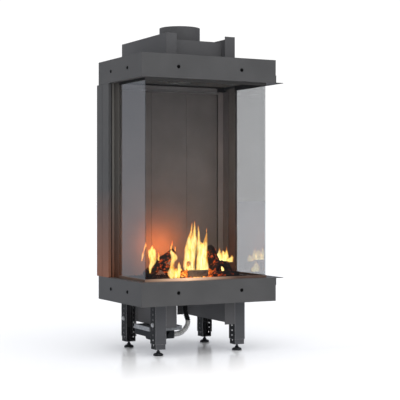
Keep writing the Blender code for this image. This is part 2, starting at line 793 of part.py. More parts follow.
def make_duct(frame, steel):
    """A closed channel down the back, open to the hood and the base and notched round the casing."""
    front = BODY_DEPTH + SEAT
    low = (BRACKET_LEFT, LEG_SPACE)
    high = (BRACKET_RIGHT, HOOD_TOP)
    levels = ((0, BRACKET_REAR), (0, front), (THIN_SHEET, front), (THIN_SHEET, BRACKET_REAR - THIN_SHEET))
    duct = add_piece("rear_air_duct", dish(low, high, "V", levels), steel, frame)
    notch = block(
        (low[0] - OVERRUN, front - OVERRUN, BASE_TOP),
        (high[0] + OVERRUN, CASING_REAR + SEAT, HOOD_UNDER),
    )
    boolean(duct, add_cutter("duct_notch_cutter", notch, frame))


def make_hearth(frame, steel):
    plate = block(
        (INNER_INSET, INNER_INSET, BASE_TOP + SEAT),
        (BODY_WIDTH - INNER_INSET, BACK_PLANE - SEAT, HEARTH_TOP),
    )
    hearth = add_piece("hearth_plate", plate, steel, frame)
    hole = block(
        (BED_LEFT, BED_FRONT, BASE_TOP - OVERRUN),
        (BED_RIGHT, BED_REAR, HEARTH_TOP + OVERRUN),
    )
    boolean(hearth, add_cutter("hearth_bed_cutter", hole, frame))


def make_burner_tray(frame, steel):
    """A pan hung by its rim in the hearth, with the gas inlet under it."""
    rim = HEARTH_TOP + SEAT
    levels = (
        (0, BED_FLOOR),
        (0, rim),
        (-BED_RIM, rim),
        (-BED_RIM, rim + THIN_SHEET),
        (THIN_SHEET, rim + THIN_SHEET),
        (THIN_SHEET, BED_FLOOR + THIN_SHEET),
    )
    low = (BED_LEFT + BED_FIT, BED_FRONT + BED_FIT)
    high = (BED_RIGHT - BED_FIT, BED_REAR - BED_FIT)
    tray = add_piece("burner_tray", dish(low, high, "Z", levels), steel, frame)
    inlet = rod(
        INLET_RADIUS,
        INLET_LENGTH + THIN_SHEET / 2,
        FLUE_SIDES // 3,
        (HOSE_U, HOSE_V, BED_FLOOR - INLET_LENGTH),
    )
    boolean(tray, add_cutter("inlet_boss", inlet, frame), "UNION")


def make_embers(frame, granules):
    """The granule bed fills the tray. Its top is uneven and never above the ember level."""
    edge = BED_FIT + THIN_SHEET + SEAT
    left = BED_LEFT + edge
    front = BED_FRONT + edge
    width = BED_RIGHT - edge - left
    depth = BED_REAR - edge - front
    foot = BED_FLOOR + THIN_SHEET + SEAT
    bm = bmesh.new()
    bmesh.ops.create_grid(bm, x_segments=EMBER_COLUMNS, y_segments=EMBER_ROWS, size=0.5)
    for vert in bm.verts:
        column = vert.co.x * EMBER_COLUMNS
        row = vert.co.y * EMBER_ROWS
        first = math.sin(column * EMBER_WAVES[0] + row * EMBER_WAVES[1])
        second = math.cos(row * EMBER_WAVES[2] + column * EMBER_WAVES[3])
        dip = (1 - first * second) / 2 * EMBER_RELIEF
        vert.co.x = left + (vert.co.x + 0.5) * width
        vert.co.y = front + (vert.co.y + 0.5) * depth
        vert.co.z = EMBER_TOP - dip
    rim = [edge for edge in bm.edges if edge.is_boundary]
    grown = bmesh.ops.extrude_edge_only(bm, edges=rim)
    lowered = [item for item in grown["geom"] if isinstance(item, bmesh.types.BMVert)]
    for vert in lowered:
        vert.co.z = foot
    bmesh.ops.contextual_create(bm, geom=[edge for edge in bm.edges if edge.is_boundary])
    bed = add_piece("ember_bed", bm, granules, frame)
    pocket = block(
        (CENTRE_U - BLOCK_WIDTH / 2 - SEAT, BLOCK_FRONT - SEAT, foot - OVERRUN),
        (CENTRE_U + BLOCK_WIDTH / 2 + SEAT, BLOCK_FRONT + BLOCK_DEPTH + SEAT, EMBER_TOP + OVERRUN),
    )
    boolean(bed, add_cutter("block_pocket_cutter", pocket, frame))


def make_burner_block(frame, steel):
    """The box that stands through the embers. The tall flames leave its slots."""
    foot = BED_FLOOR + THIN_SHEET + SEAT
    head = HEARTH_TOP + BLOCK_RISE
    low = (CENTRE_U - BLOCK_WIDTH / 2, BLOCK_FRONT)
    high = (CENTRE_U + BLOCK_WIDTH / 2, BLOCK_FRONT + BLOCK_DEPTH)
    levels = ((0, head), (0, foot), (THIN_SHEET, foot), (THIN_SHEET, head - THIN_SHEET))
    box = add_piece("burner_block", dish(low, high, "Z", levels), steel, frame)
    slots = []
    middle = BLOCK_FRONT + BLOCK_DEPTH / 2
    for v in (middle - PORT_ROW_PITCH / 2, middle + PORT_ROW_PITCH / 2):
        for index in range(PORT_COUNT):
            u = CENTRE_U + (index - (PORT_COUNT - 1) / 2) * PORT_PITCH
            slots.append(
                block(
                    (u - PORT_WIDTH / 2, v - PORT_LENGTH / 2, head - THIN_SHEET - OVERRUN),
                    (u + PORT_WIDTH / 2, v + PORT_LENGTH / 2, head + OVERRUN),
                )
            )
    boolean(box, add_cutter("flame_port_cutter", merged(slots), frame))


def make_pilot(frame, steel):
    """A stepped bracket behind the bed. Its shelf carries the pilot hood, electrode and thermocouple."""
    foot = HEARTH_TOP + SEAT
    front = BED_REAR - BED_FIT + BED_RIM + SEAT
    shelf = foot + PILOT_RISE
    path = (
        (front + PILOT_FOOT, foot + THIN_SHEET),
        (front + THIN_SHEET, foot + THIN_SHEET),
        (front + THIN_SHEET, shelf + THIN_SHEET),
        (front - PILOT_SHELF, shelf + THIN_SHEET),
    )
    half = PILOT_PLATE_WIDTH / 2
    plate = prism(folded(path, THIN_SHEET), "U", PILOT_U - half, PILOT_U + half)
    pilot = add_piece("pilot_assembly", plate, steel, frame)
    rods = []
    for index, (radius, height) in enumerate(PILOT_RODS):
        u = PILOT_U + (index - (len(PILOT_RODS) - 1) / 2) * PILOT_ROD_PITCH
        rods.append(rod(radius, height, LOG_SIDES, (u, front - PILOT_SHELF / 2, shelf + THIN_SHEET / 2)))
    boolean(pilot, add_cutter("pilot_rods", merged(rods), frame), "UNION")


def bed_point(shares):
    return Vector(
        (
            BED_LEFT + shares[0] * BED_WIDTH,
            BED_FRONT + shares[1] * (BED_REAR - BED_FRONT),
            EMBER_TOP + shares[2] * FIRE_HEIGHT,
        )
    )


def along(values, share):
    """A smooth value at a share of the way along a list of values."""
    place = share * (len(values) - 1)
    index = min(int(place), len(values) - 2)
    t = place - index
    before = values[max(index - 1, 0)]
    first = values[index]
    second = values[index + 1]
    after = values[min(index + 2, len(values) - 1)]
    return 0.5 * (
        2 * first
        + (second - before) * t
        + (2 * before - 5 * first + 4 * second - after) * t**2
        + (3 * first - before - 3 * second + after) * t**3
    )


def log_body(route_shares, radii, grow):
    """A bark-rough tube along a smooth route. grow fattens it, for cutting what rests against it."""
    route = [bed_point(shares) for shares in route_shares]
    bm = bmesh.new()
    rings = []
    for index in range(LOG_RINGS):
        share = index / (LOG_RINGS - 1)
        centre = along(route, share)
        ahead = along(route, min(share + LOG_AIM_SHARE, 1)) - along(route, max(share - LOG_AIM_SHARE, 0))
        side = ahead.cross(Vector(LOG_SIDE_LEAN)).normalized()
        up = side.cross(ahead).normalized()
        radius = along(radii, share)
        if index in (0, LOG_RINGS - 1):
            radius *= LOG_END_SHARE
            centre = centre + ahead.normalized() * grow * (1 if index else -1)
        ring = []
        for corner in range(LOG_SIDES):
            angle = math.tau * corner / LOG_SIDES
            ridge = math.sin(BARK_RIDGES * angle + BARK_RIDGE_TWIST * share)
            lump = math.cos(BARK_LUMPS * angle - BARK_LUMP_TWIST * share)
            reach = radius * (1 + LOG_BARK_SHARE * ridge * lump) + grow
            ring.append(bm.verts.new(centre + reach * (math.cos(angle) * side + math.sin(angle) * up)))
        rings.append(ring)
    join_rings(bm, rings)
    return bm


def make_logs(frame, ceramic):
    """Five ceramic logs, each flat where it lies on the bed and notched where it rests on another."""
    logs = (
        ("log_left_leaning", LEFT_LEANING_ROUTE_SHARES, LEFT_LEANING_RADII),
        ("log_left_cross", LEFT_CROSS_ROUTE_SHARES, LEFT_CROSS_RADII),
        ("log_right_leaning", RIGHT_LEANING_ROUTE_SHARES, RIGHT_LEANING_RADII),
        ("log_right_arch", RIGHT_ARCH_ROUTE_SHARES, RIGHT_ARCH_RADII),
        ("log_right_front", RIGHT_FRONT_ROUTE_SHARES, RIGHT_FRONT_RADII),
    )
    bed = block(
        (BED_LEFT - BED_WIDTH, BED_FRONT - BED_WIDTH, BED_FLOOR - BED_DEEP),
        (BED_RIGHT + BED_WIDTH, BED_REAR + BED_WIDTH, EMBER_TOP + SEAT),
    )
    bed_cutter = add_cutter("log_bed_cutter", bed, frame)
    pieces = {}
    cutters = {}
    for name, route, radii in logs:
        pieces[name] = add_piece(name, log_body(route, radii, 0), ceramic, frame)
        shade_round(pieces[name])
        cutters[name] = add_cutter(f"{name}_notch", log_body(route, radii, SEAT), frame)
        boolean(pieces[name], bed_cutter)
    boolean(pieces["log_left_cross"], cutters["log_left_leaning"])
    boolean(pieces["log_right_arch"], cutters["log_right_leaning"])


def hole_row(depth, u, v):
    """A row of round holes up a leg, straight through both side walls."""
    return merged(
        [
            rod(
                HOLE_RADIUS,
                depth,
                HOLE_SIDES,
                (u - depth / 2, v, HOLE_FIRST + index * HOLE_PITCH),
                (1, 0, 0),
            )
            for index in range(HOLE_COUNT)
        ]
    )


def make_legs(frame, steel, zinc):
    """Each leg is a channel bolted to the bracket, a slotted channel that slides in it, and a screw foot."""
    head = LEG_SPACE - SEAT
    inner_head = LEG_SPACE - INNER_LEG_HEAD_DROP
    gap = SEAT + LEG_WIDTH / 2
    corners = (
        ("front_left", BRACKET_LEFT - gap, LEG_FRONT_V, 1),
        ("front_right", BRACKET_RIGHT + gap, LEG_FRONT_V, 1),
        ("rear_left", BRACKET_LEFT - gap, LEG_REAR_V, -1),
        ("rear_right", BRACKET_RIGHT + gap, LEG_REAR_V, -1),
    )
    half = LEG_WIDTH / 2
    reach = LEG_WIDTH + 2 * OVERRUN
    web = LEG_DEPTH / 2
    inner_half = half - LEG_SHEET - LEG_SLIDE
    inner_web = web - LEG_SHEET - LEG_SLIDE
    for corner, u, v, front_web in corners:
        path = (
            (u - front_web * half, v + front_web * web),
            (u - front_web * half, v - front_web * web),
            (u + front_web * half, v - front_web * web),
            (u + front_web * half, v + front_web * web),
        )
        channel = prism(folded(path, LEG_SHEET), "Z", OUTER_LEG_FOOT, head)
        outer = add_piece(f"leg_outer_{corner}", channel, steel, frame)
        boolean(outer, add_cutter(f"outer_holes_{corner}", hole_row(reach, u, v), frame))

        open_side = v + front_web * (web - LEG_SETBACK)
        web_side = v - front_web * inner_web
        span = sorted((web_side, open_side))
        levels = (
            (0, INNER_LEG_FOOT),
            (0, inner_head),
            (LEG_SHEET, inner_head),
            (LEG_SHEET, INNER_LEG_FOOT + LEG_SHEET),
        )
        tube = dish((u - inner_half, span[0]), (u + inner_half, span[1]), "Z", levels)
        inner = add_piece(f"leg_inner_{corner}", tube, steel, frame, (u, v, INNER_LEG_FOOT))
        mouth = sorted((open_side - front_web * (LEG_SHEET + OVERRUN), open_side + front_web * OVERRUN))
        doorway = block(
            (u - inner_half + LEG_SHEET, mouth[0], INNER_LEG_FOOT + LEG_SHEET),
            (u + inner_half - LEG_SHEET, mouth[1], inner_head + OVERRUN),
        )
        boolean(inner, add_cutter(f"inner_mouth_{corner}", doorway, frame))
        slot = block(
            (u - reach / 2, v - SLOT_WIDTH / 2, SLOT_FOOT),
            (u + reach / 2, v + SLOT_WIDTH / 2, inner_head - SLOT_HEAD_DROP),
        )
        low_hole = (u - reach / 2, v, HOLE_FIRST - HOLE_PITCH)
        side_cuts = merged([slot, rod(HOLE_RADIUS, reach, HOLE_SIDES, low_hole, (1, 0, 0))])
        boolean(inner, add_cutter(f"inner_slot_{corner}", side_cuts, frame))
        spindle_hole = rod(
            SPINDLE_RADIUS + SPINDLE_FIT,
            LEG_SHEET + 2 * OVERRUN,
            FLUE_SIDES // 3,
            (u, v, INNER_LEG_FOOT - OVERRUN),
        )
        boolean(inner, add_cutter(f"spindle_hole_{corner}", spindle_hole, frame))

        foot = turned(foot_profile(), FLUE_SIDES // 2, (u, v, 0))
        shade_round(add_child(f"foot_{corner}", foot, zinc, inner, (u, v, 0)))


def foot_profile():
    """Pad with a domed top, lock nut and threaded spindle."""
    dome = [
        (PAD_RADIUS * out, PAD_EDGE + (PAD_HEIGHT - PAD_EDGE) * up)
        for out, up in PAD_DOME_SHARES
    ]
    return (
        (0, 0),
        (PAD_RADIUS - PAD_EDGE / 4, 0),
        (PAD_RADIUS, PAD_EDGE / 2),
        (PAD_RADIUS, PAD_EDGE),
        *dome,
        (PAD_NECK, PAD_HEIGHT),
        (NUT_RADIUS, PAD_HEIGHT),
        (NUT_RADIUS, PAD_HEIGHT + NUT_HEIGHT),
        (SPINDLE_RADIUS, PAD_HEIGHT + NUT_HEIGHT),
        (SPINDLE_RADIUS, SPINDLE_TOP),
        (0, SPINDLE_TOP),
    )


def make_gas_tray(frame, galvanised):
    levels = (
        (0, TRAY_UNDER),
        (0, TRAY_UNDER + TRAY_HEIGHT),
        (THIN_SHEET, TRAY_UNDER + TRAY_HEIGHT),
        (THIN_SHEET, TRAY_UNDER + THIN_SHEET),
    )
    low = (TRAY_LEFT, TRAY_FRONT)
    high = (TRAY_LEFT + TRAY_WIDTH, TRAY_FRONT + TRAY_DEPTH)
    add_piece("gas_tray", dish(low, high, "Z", levels), galvanised, frame)


def make_gas_valve(frame, polymer):
    """The control block under the tray: a deep nose in front and a shallower body behind it."""
    head = TRAY_UNDER - SEAT
    rear = VALVE_FRONT + VALVE_DEPTH
    nose_rear = VALVE_FRONT + VALVE_NOSE
    outline = (
        (VALVE_FRONT, head),
        (VALVE_FRONT, head - VALVE_NOSE_HEIGHT),
        (nose_rear, head - VALVE_NOSE_HEIGHT),
        (nose_rear + VALVE_NOSE_HEIGHT - VALVE_REAR_HEIGHT, head - VALVE_REAR_HEIGHT),
        (rear, head - VALVE_REAR_HEIGHT),
        (rear, head),
    )
    valve = add_piece("gas_valve", prism(outline, "U", VALVE_LEFT, VALVE_LEFT + VALVE_WIDTH), polymer, frame)
    soften(valve, VALVE_ROUND, 2)


def make_valve_knob(frame, polymer):
    """A fluted knob on the valve's front face. Its axis runs forwards."""
    bm = bmesh.new()
    rings = []
    levels = (
        (KNOB_RADIUS, 0),
        (KNOB_RADIUS, KNOB_LENGTH - KNOB_CAP_ROUND),
        (KNOB_RADIUS - KNOB_CAP_ROUND, KNOB_LENGTH),
    )
    for radius, out in levels:
        ring = []
        for step in range(2 * KNOB_GRIPS):
            angle = math.tau * step / (2 * KNOB_GRIPS)
            reach = radius - KNOB_GRIP_DEPTH * (step % 2)
            place = (
                KNOB_U + reach * math.cos(angle),
                VALVE_FRONT - SEAT - out,
                HOSE_Z + reach * math.sin(angle),
            )
            ring.append(bm.verts.new(place))
        rings.append(ring)
    join_rings(bm, rings)
    add_piece("valve_knob", bm, polymer, frame, (KNOB_U, VALVE_FRONT - SEAT, HOSE_Z))


def hose_route():
    """Out of the valve's right end, round a bulge and straight up to the burner's inlet, by distance."""
    start = Vector((VALVE_LEFT + VALVE_WIDTH + SEAT, HOSE_V, HOSE_Z))
    top = Vector((HOSE_U, HOSE_V, BED_FLOOR - INLET_LENGTH - SEAT))
    swing = [Vector((HOSE_U + across, HOSE_V, HOSE_Z + up)) for across, up in HOSE_SWING]
    stops = [start, *swing, top]
    stops = [2 * start - swing[0], *stops, 2 * top - swing[-1]]
    points = []
    for before, first, second, after in zip(stops, stops[1:], stops[2:], stops[3:]):
        for step in range(HOSE_STEPS):
            points.append(smooth_between(before, first, second, after, step / HOSE_STEPS))
    points.append(top)
    reached = [0]
    for first, second in zip(points, points[1:]):
        reached.append(reached[-1] + (second - first).length)

    def place(distance):
        index = min(max(bisect.bisect_right(reached, distance), 1), len(points) - 1)
        share = (distance - reached[index - 1]) / (reached[index] - reached[index - 1])
        return points[index - 1].lerp(points[index], share)

    return place, reached[-1]


def smooth_between(before, first, second, after, share):
    """A point on the smooth curve that leaves the first stop and reaches the second."""
    leave = (second - before) / 2
    arrive = (after - first) / 2
    rest = 1 - share
    near = first * (1 + 2 * share) * rest * rest + leave * share * rest * rest
    return near + second * share * share * (1 + 2 * rest) - arrive * share * share * rest


def tube_curve(name, points, radii, width, resolution, frame):
    curve = bpy.data.curves.new(name, "CURVE")
    curve.dimensions = "3D"
    curve.bevel_depth = width
    curve.bevel_resolution = resolution
    curve.use_fill_caps = True
    spline = curve.splines.new("POLY")
    spline.points.add(len(points) - 1)
    for item, point, radius in zip(spline.points, points, radii):
        item.co = (*point, 1)
        item.radius = radius / width
    tube = bpy.data.objects.new(name, curve)
    bpy.context.scene.collection.objects.link(tube)
    tube.parent = frame
    return tube


def as_mesh(tube, finish):
    """The same tube as a mesh object, so that a Boolean can work on it."""
    name = tube.name
    graph = bpy.context.evaluated_depsgraph_get()
    mesh = bpy.data.meshes.new_from_object(tube.evaluated_get(graph))
    parent = tube.parent
    bpy.data.objects.remove(tube, do_unlink=True)
    piece = bpy.data.objects.new(name, mesh)
    bpy.context.scene.collection.objects.link(piece)
    piece.parent = parent
    mesh.materials.clear()
    if finish:
        mesh.materials.append(finish)
    return piece


def make_gas_hose(frame, stainless):
    """Corrugated metal hose: crests and roots in turn, straight cuffs at both ends, and its bore."""
    place, length = hose_route()
    cuff = 2 * HOSE_RADIUS
    ribs = int((length - 2 * cuff) / HOSE_PITCH)
    pitch = (length - 2 * cuff) / ribs
    distances = [0, cuff]
    radii = [HOSE_RADIUS, HOSE_RADIUS]
    for index in range(ribs):
        distances.append(cuff + (index + 0.5) * pitch)
        radii.append(HOSE_ROOT)
        distances.append(cuff + (index + 1) * pitch)
        radii.append(HOSE_RADIUS)
    distances.append(length)
    radii.append(HOSE_RADIUS)
    points = [place(distance) for distance in distances]
    hose = as_mesh(tube_curve("gas_hose", points, radii, HOSE_RADIUS, 2, frame), stainless)
    steps = HOSE_STEPS * len(HOSE_SWING)
    inner = [place(length * step / steps) for step in range(steps + 1)]
    inner[0] = inner[0] - AXES["U"] * OVERRUN
    inner[-1] = inner[-1] + AXES["Z"] * OVERRUN
    bore = tube_curve("hose_bore_cutter", inner, [HOSE_BORE] * len(inner), HOSE_BORE, 1, frame)
    bore = as_mesh(bore, None)
    bore.hide_render = True
    bore.display_type = "WIRE"
    boolean(hose, bore)
    shade_round(hose)


def main():
    clear_scene()
    frame = make_frame()
    finishes = {name: make_finish(name) for name in FINISHES}
    steel = finishes["grey_enamel_steel"]
    enamel = finishes["chamber_enamel"]
    burner = finishes["burner_steel"]
    stainless = finishes["stainless_steel"]
    polymer = finishes["black_polymer"]
    make_hood(frame, steel)
    make_base(frame, steel)
    make_base_floor(frame, steel)
    make_ledge("hood_ledge", HOOD_UNDER, LEDGE_RISE, frame, steel)
    make_ledge("base_ledge", BASE_TOP, -LEDGE_RISE, frame, steel)
    make_glass(frame, finishes["ceramic_glass"])
    make_channels(frame, steel)
    make_posts(frame, steel)
    make_columns(frame, steel)
    make_linings(frame, enamel)
    make_chamber_back(frame, enamel)
    make_top_rail(frame, enamel)
    make_ceiling(frame, enamel)
    make_relief_flap(frame, burner)
    make_flue(frame, steel, stainless)
    make_brackets(frame, steel)
    make_deflector(frame, steel)
    make_duct(frame, finishes["galvanised_steel"])
    make_hearth(frame, enamel)
    make_burner_tray(frame, burner)
    make_embers(frame, finishes["ember_granules"])
    make_burner_block(frame, burner)
    make_pilot(frame, stainless)
    make_logs(frame, finishes["ceramic_fibre"])
    make_legs(frame, steel, finishes["galvanised_steel"])
    make_gas_tray(frame, finishes["galvanised_steel"])
    make_gas_valve(frame, polymer)
    make_valve_knob(frame, polymer)
    make_gas_hose(frame, stainless)


main()
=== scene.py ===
# Gas fire with glass on three sides, standing on four telescopic legs.
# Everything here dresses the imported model: finishes, fixings, fire, floor, lamps and camera.
import math

import bpy
import numpy as np
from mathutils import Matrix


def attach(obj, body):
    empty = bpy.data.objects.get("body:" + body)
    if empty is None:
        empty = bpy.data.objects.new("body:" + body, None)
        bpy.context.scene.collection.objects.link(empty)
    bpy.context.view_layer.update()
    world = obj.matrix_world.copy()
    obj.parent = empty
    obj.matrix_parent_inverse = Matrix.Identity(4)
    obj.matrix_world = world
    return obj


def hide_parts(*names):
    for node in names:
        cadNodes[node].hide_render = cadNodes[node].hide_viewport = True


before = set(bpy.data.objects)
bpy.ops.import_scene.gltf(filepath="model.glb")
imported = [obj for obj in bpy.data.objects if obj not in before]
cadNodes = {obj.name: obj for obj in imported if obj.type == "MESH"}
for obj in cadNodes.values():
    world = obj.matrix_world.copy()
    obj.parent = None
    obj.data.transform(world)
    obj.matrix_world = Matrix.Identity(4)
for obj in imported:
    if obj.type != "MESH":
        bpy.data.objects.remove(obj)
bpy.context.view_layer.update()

mm = 0.001
fullTurn = 2 * math.pi
legMiddles = {"front_left": (121.7, 106), "front_right": (478.3, 106),
              "rear_left": (121.7, 387.5), "rear_right": (478.3, 387.5)}
print("frame loaded:", len(cadNodes), "nodes")


# Helpers

# Millimetres right of, behind and above the hood's left front corner on the floor,
# moved by (-318, -256, 0) and divided by 1000 into the frame's metres
def place(points):
    return (np.asarray(points, dtype=float) - (318, 256, 0)) * mm


# Each sRGB channel c becomes c / 12.92 below 0.04045 and ((c + 0.055) / 1.055) ** 2.4 above it
def fromHex(text):
    channels = np.array([int(text[i:i + 2], 16) for i in (1, 3, 5)]) / 255
    straight = np.where(channels <= 0.04045, channels / 12.92, ((channels + 0.055) / 1.055) ** 2.4)
    return (*straight.tolist(), 1.0)


# One shader node with its settings. A socket gets a plain value, or a link from the output or from the
# first output of the node that is given. A colour ramp's stops are (place, hex colour or grey) pairs
def addNode(tree, kind, sockets=None, stops=(), **settings):
    node = tree.nodes.new("ShaderNode" + kind)
    for name, value in settings.items():
        setattr(node, name, value)
    for socket, value in (sockets or {}).items():
        if isinstance(value, bpy.types.Node):
            value = value.outputs[0]
        if isinstance(value, bpy.types.NodeSocket):
            tree.links.new(value, node.inputs[socket])
        else:
            node.inputs[socket].default_value = value
    if stops:
        ramp = node.color_ramp
        while len(ramp.elements) < len(stops):
            ramp.elements.new(1)
        for element, (at, colour) in zip(ramp.elements, stops):
            element.position = at
            element.color = fromHex(colour) if isinstance(colour, str) else (colour, colour, colour, 1)
    return node


# A material's tree goes to the recipe with its coordinates and its look, and the recipe gives the shader
def makeFinish(name, recipe, look):
    material = bpy.data.materials.new(name)
    material.use_nodes = True
    tree = material.node_tree
    tree.nodes.clear()
    shader = recipe(tree, addNode(tree, "TexCoord"), look)
    addNode(tree, "OutputMaterial", {"Surface": shader})
    return material


# Noise, as coarse as the look's entry named by size, and the look's two tones over it: dark below low and
# pale above 1 - low
def addMottle(tree, where, look, size, low, sockets=None):
    noise = addNode(tree, "TexNoise", {"Scale": 1 / mm / look[size], "Vector": where, **(sockets or {})})
    return noise, addNode(tree, "ValToRGB", {0: noise}, stops=((low, look["dark"]), (1 - low, look["pale"])))


# The shader of a solid finish, with a relief that follows the height of one of its patterns
def addSurface(tree, look, height, sockets, rounding=None):
    relief = {"Strength": look["bump"], "Distance": look["deep"] * mm, "Height": height}
    bump = addNode(tree, "Bump", {**relief, "Normal": rounding} if rounding else relief)
    return addNode(tree, "BsdfPrincipled", {"Roughness": look["roughness"], "Normal": bump, **sockets})


# Finishes. All lengths in the looks are millimetres

# "cloud" is the size of the coat's uneven patches, "edge" the fold's radius and "deep" the orange peel's
# height. Orange peel is really about 1 mm across and is drawn at 2.2 mm to show
# "side" multiplies the colour of faces that look left or right: painted shade below 1, painted light above 1
steelLook = {"dark": "#505051", "pale": "#565657", "cloud": 120, "peel": 2.2, "roughness": 0.46,
             "spread": 0.04, "shine": 0.22, "bump": 0.12, "deep": 0.2, "edge": 2.0, "foldHighlight_and_dullFloorEdge": 0.0,
             "foldHighlightColour": "#7c7d80", "side": 0.96, "firelightColour": "#8a5c48", "firelightShare": 0.0, "axis": "Z",
             "firelightCentre": 300, "reach": 360, "glow": 0.0}
# The columns and posts: painted firelight, the colour warmer towards 300 mm high and fading over 360 mm
columnLook = {**steelLook, "firelightShare": 1.0, "edge": 1.0}
# The legs: a painted highlight along their folds, and painted shade on their side faces ("side" 0.32)
legLook = {**steelLook, "dark": "#4f5054", "pale": "#55565a", "side": 0.32, "foldHighlight_and_dullFloorEdge": 1.0, "foldHighlightColour": "#b0b1b5",
           "edge": 2.4}
# The lower glass channel: painted firelight, pale and glowing near the burner's middle and darker towards its
# ends
paintedFirelightLook = {**steelLook, "dark": "#634e45", "pale": "#6a544a", "firelightColour": "#dab294", "firelightShare": 1.0,
              "axis": "X", "firelightCentre": -104, "reach": 222, "side": 0.45, "edge": 0.4, "glow": 0.8}
# The brackets' side faces are painted lighter, "side" 1.3: painted light
bracketLook = {**steelLook, "dark": "#555557", "pale": "#5b5b5e", "edge": 1.0, "side": 1.3}
topLook = {**steelLook, "dark": "#545456", "pale": "#5a5a5c", "edge": 1.0, "side": 0.98}
# The glass posts: paler than the steel, painted light that lifts their shaded recess; their side faces are
# darker by "side", painted shade
paintedLightPostLook = {**columnLook, "dark": "#777470", "pale": "#7d7a76", "side": 0.38}
paintedLightRightPostLook = {**paintedLightPostLook, "side": 0.8}
baseLook = {**steelLook, "shine": 0.4, "roughness": 0.40, "side": 0.89}
ledgeLook = {**steelLook, "dark": "#343436", "pale": "#3a3a3c", "edge": 0.5}
# The upper glass channel: darker than the steel, and its side faces darker still: painted shade under the
# hood
shadedChannelLook = {**steelLook, "dark": "#454444", "pale": "#4a4949", "edge": 0.6, "shine": 0.1, "side": 0.25}


# Powder-coated steel: sprayed and baked, so it is an even satin grey with a fine orange peel. Along the
# folds, where the rounded normal leaves the true one, the colour turns to the pale "foldHighlightColour": a
# painted highlight. Faces that look left or right are multiplied by "side": painted shade, and painted light
# where it is above 1. Painted firelight turns the colour towards "firelightColour" over "reach" from
# "firelightCentre" on one axis, and where the look has "glow" the coat glows with it
def powderCoat(tree, spot, look):
    where = spot.outputs["Object"]
    cloud, tone = addMottle(tree, where, look, "cloud", 0.30, {"Detail": 3.0})
    # Painted firelight: near "firelightCentre" the colour turns towards "firelightColour", fading over
    # "reach"
    level = addNode(tree, "SeparateXYZ", {0: where})
    apart = addNode(tree, "Math", {0: level.outputs[look["axis"]], 1: look["firelightCentre"] * mm},
                    operation="SUBTRACT")
    away = addNode(tree, "Math", {0: apart}, operation="ABSOLUTE")
    glowMask = addNode(tree, "MapRange", {"Value": away, "From Min": look["reach"] * mm,
                   "From Max": 0.0, "To Max": look["firelightShare"]})
    firelitTone = addNode(tree, "Mix", {0: glowMask, 6: tone, 7: fromHex(look["firelightColour"])}, data_type="RGBA")
    # Painted shade: faces that look left or right are multiplied by "side"
    facing = addNode(tree, "SeparateXYZ", {0: spot.outputs["Normal"]})
    sideways = addNode(tree, "Math", {0: facing}, operation="ABSOLUTE")
    paintedSideLevel = addNode(tree, "MapRange", {"Value": sideways, "From Min": 0.3, "From Max": 0.9,
                     "To Min": 1.0, "To Max": look["side"]})
    shaded = addNode(tree, "VectorMath", {0: firelitTone.outputs[2], 1: paintedSideLevel}, operation="MULTIPLY")
    rounding = addNode(tree, "Bevel", {"Radius": look["edge"] * mm}, samples=8)
    normal = addNode(tree, "NewGeometry").outputs["Normal"]
    straight = addNode(tree, "VectorMath", {0: rounding, 1: normal}, operation="DOT_PRODUCT")
    # Painted highlight: where the rounded normal leaves the true one, the colour turns to the pale
    # "foldHighlightColour"
    paintedFoldHighlight = addNode(tree, "MapRange", {"Value": straight.outputs["Value"], "From Min": 0.98,
                   "From Max": 0.80, "To Max": look["foldHighlight_and_dullFloorEdge"]})
    coat = addNode(tree, "Mix", {0: paintedFoldHighlight, 6: shaded, 7: fromHex(look["foldHighlightColour"])}, data_type="RGBA")
    peel = addNode(tree, "TexNoise", {"Scale": 1 / mm / look["peel"], "Vector": where})
    gloss = addNode(tree, "MapRange", {"Value": cloud, "From Min": 0.3, "From Max": 0.7, "To Min":
                    look["roughness"] - look["spread"], "To Max": look["roughness"] + look["spread"]})
    sockets = {"Base Color": coat.outputs[2], "Roughness": gloss, "Specular IOR Level": look["shine"]}
    # Painted firelight: the coat also glows in its own colour where the firelight is strongest, though it is
    # no lamp
    if look["glow"]:
        glow = addNode(tree, "Math", {0: glowMask, 1: look["glow"]}, operation="MULTIPLY")
        sockets.update({"Emission Color": coat.outputs[2], "Emission Strength": glow})
    return addSurface(tree, look, peel, sockets, rounding)


liningLook = {"dark": "#636161", "pale": "#706d6d", "cloud": 100, "grit": 1.6, "roughness": 0.62,
              "bump": 0.10, "deep": 0.3, "paintedUpLight": 1.0, "front": 1.0}
# Near black: painted shade, so the gaps that show the chamber's back read as dark lines
gapShadowLook = {**liningLook, "dark": "#080808", "pale": "#0e0d0d", "roughness": 0.8}
ceilingLook = {**liningLook, "dark": "#555b5e", "pale": "#5f6567"}
# The top rail: lighter than the lining, with painted light on its faces that look up
railLook = {**liningLook, "dark": "#767474", "pale": "#827f7f", "paintedUpLight": 2.0}
# The side liners: painted light on their faces that look to the front
linerLook = {**liningLook, "front": 1.55}


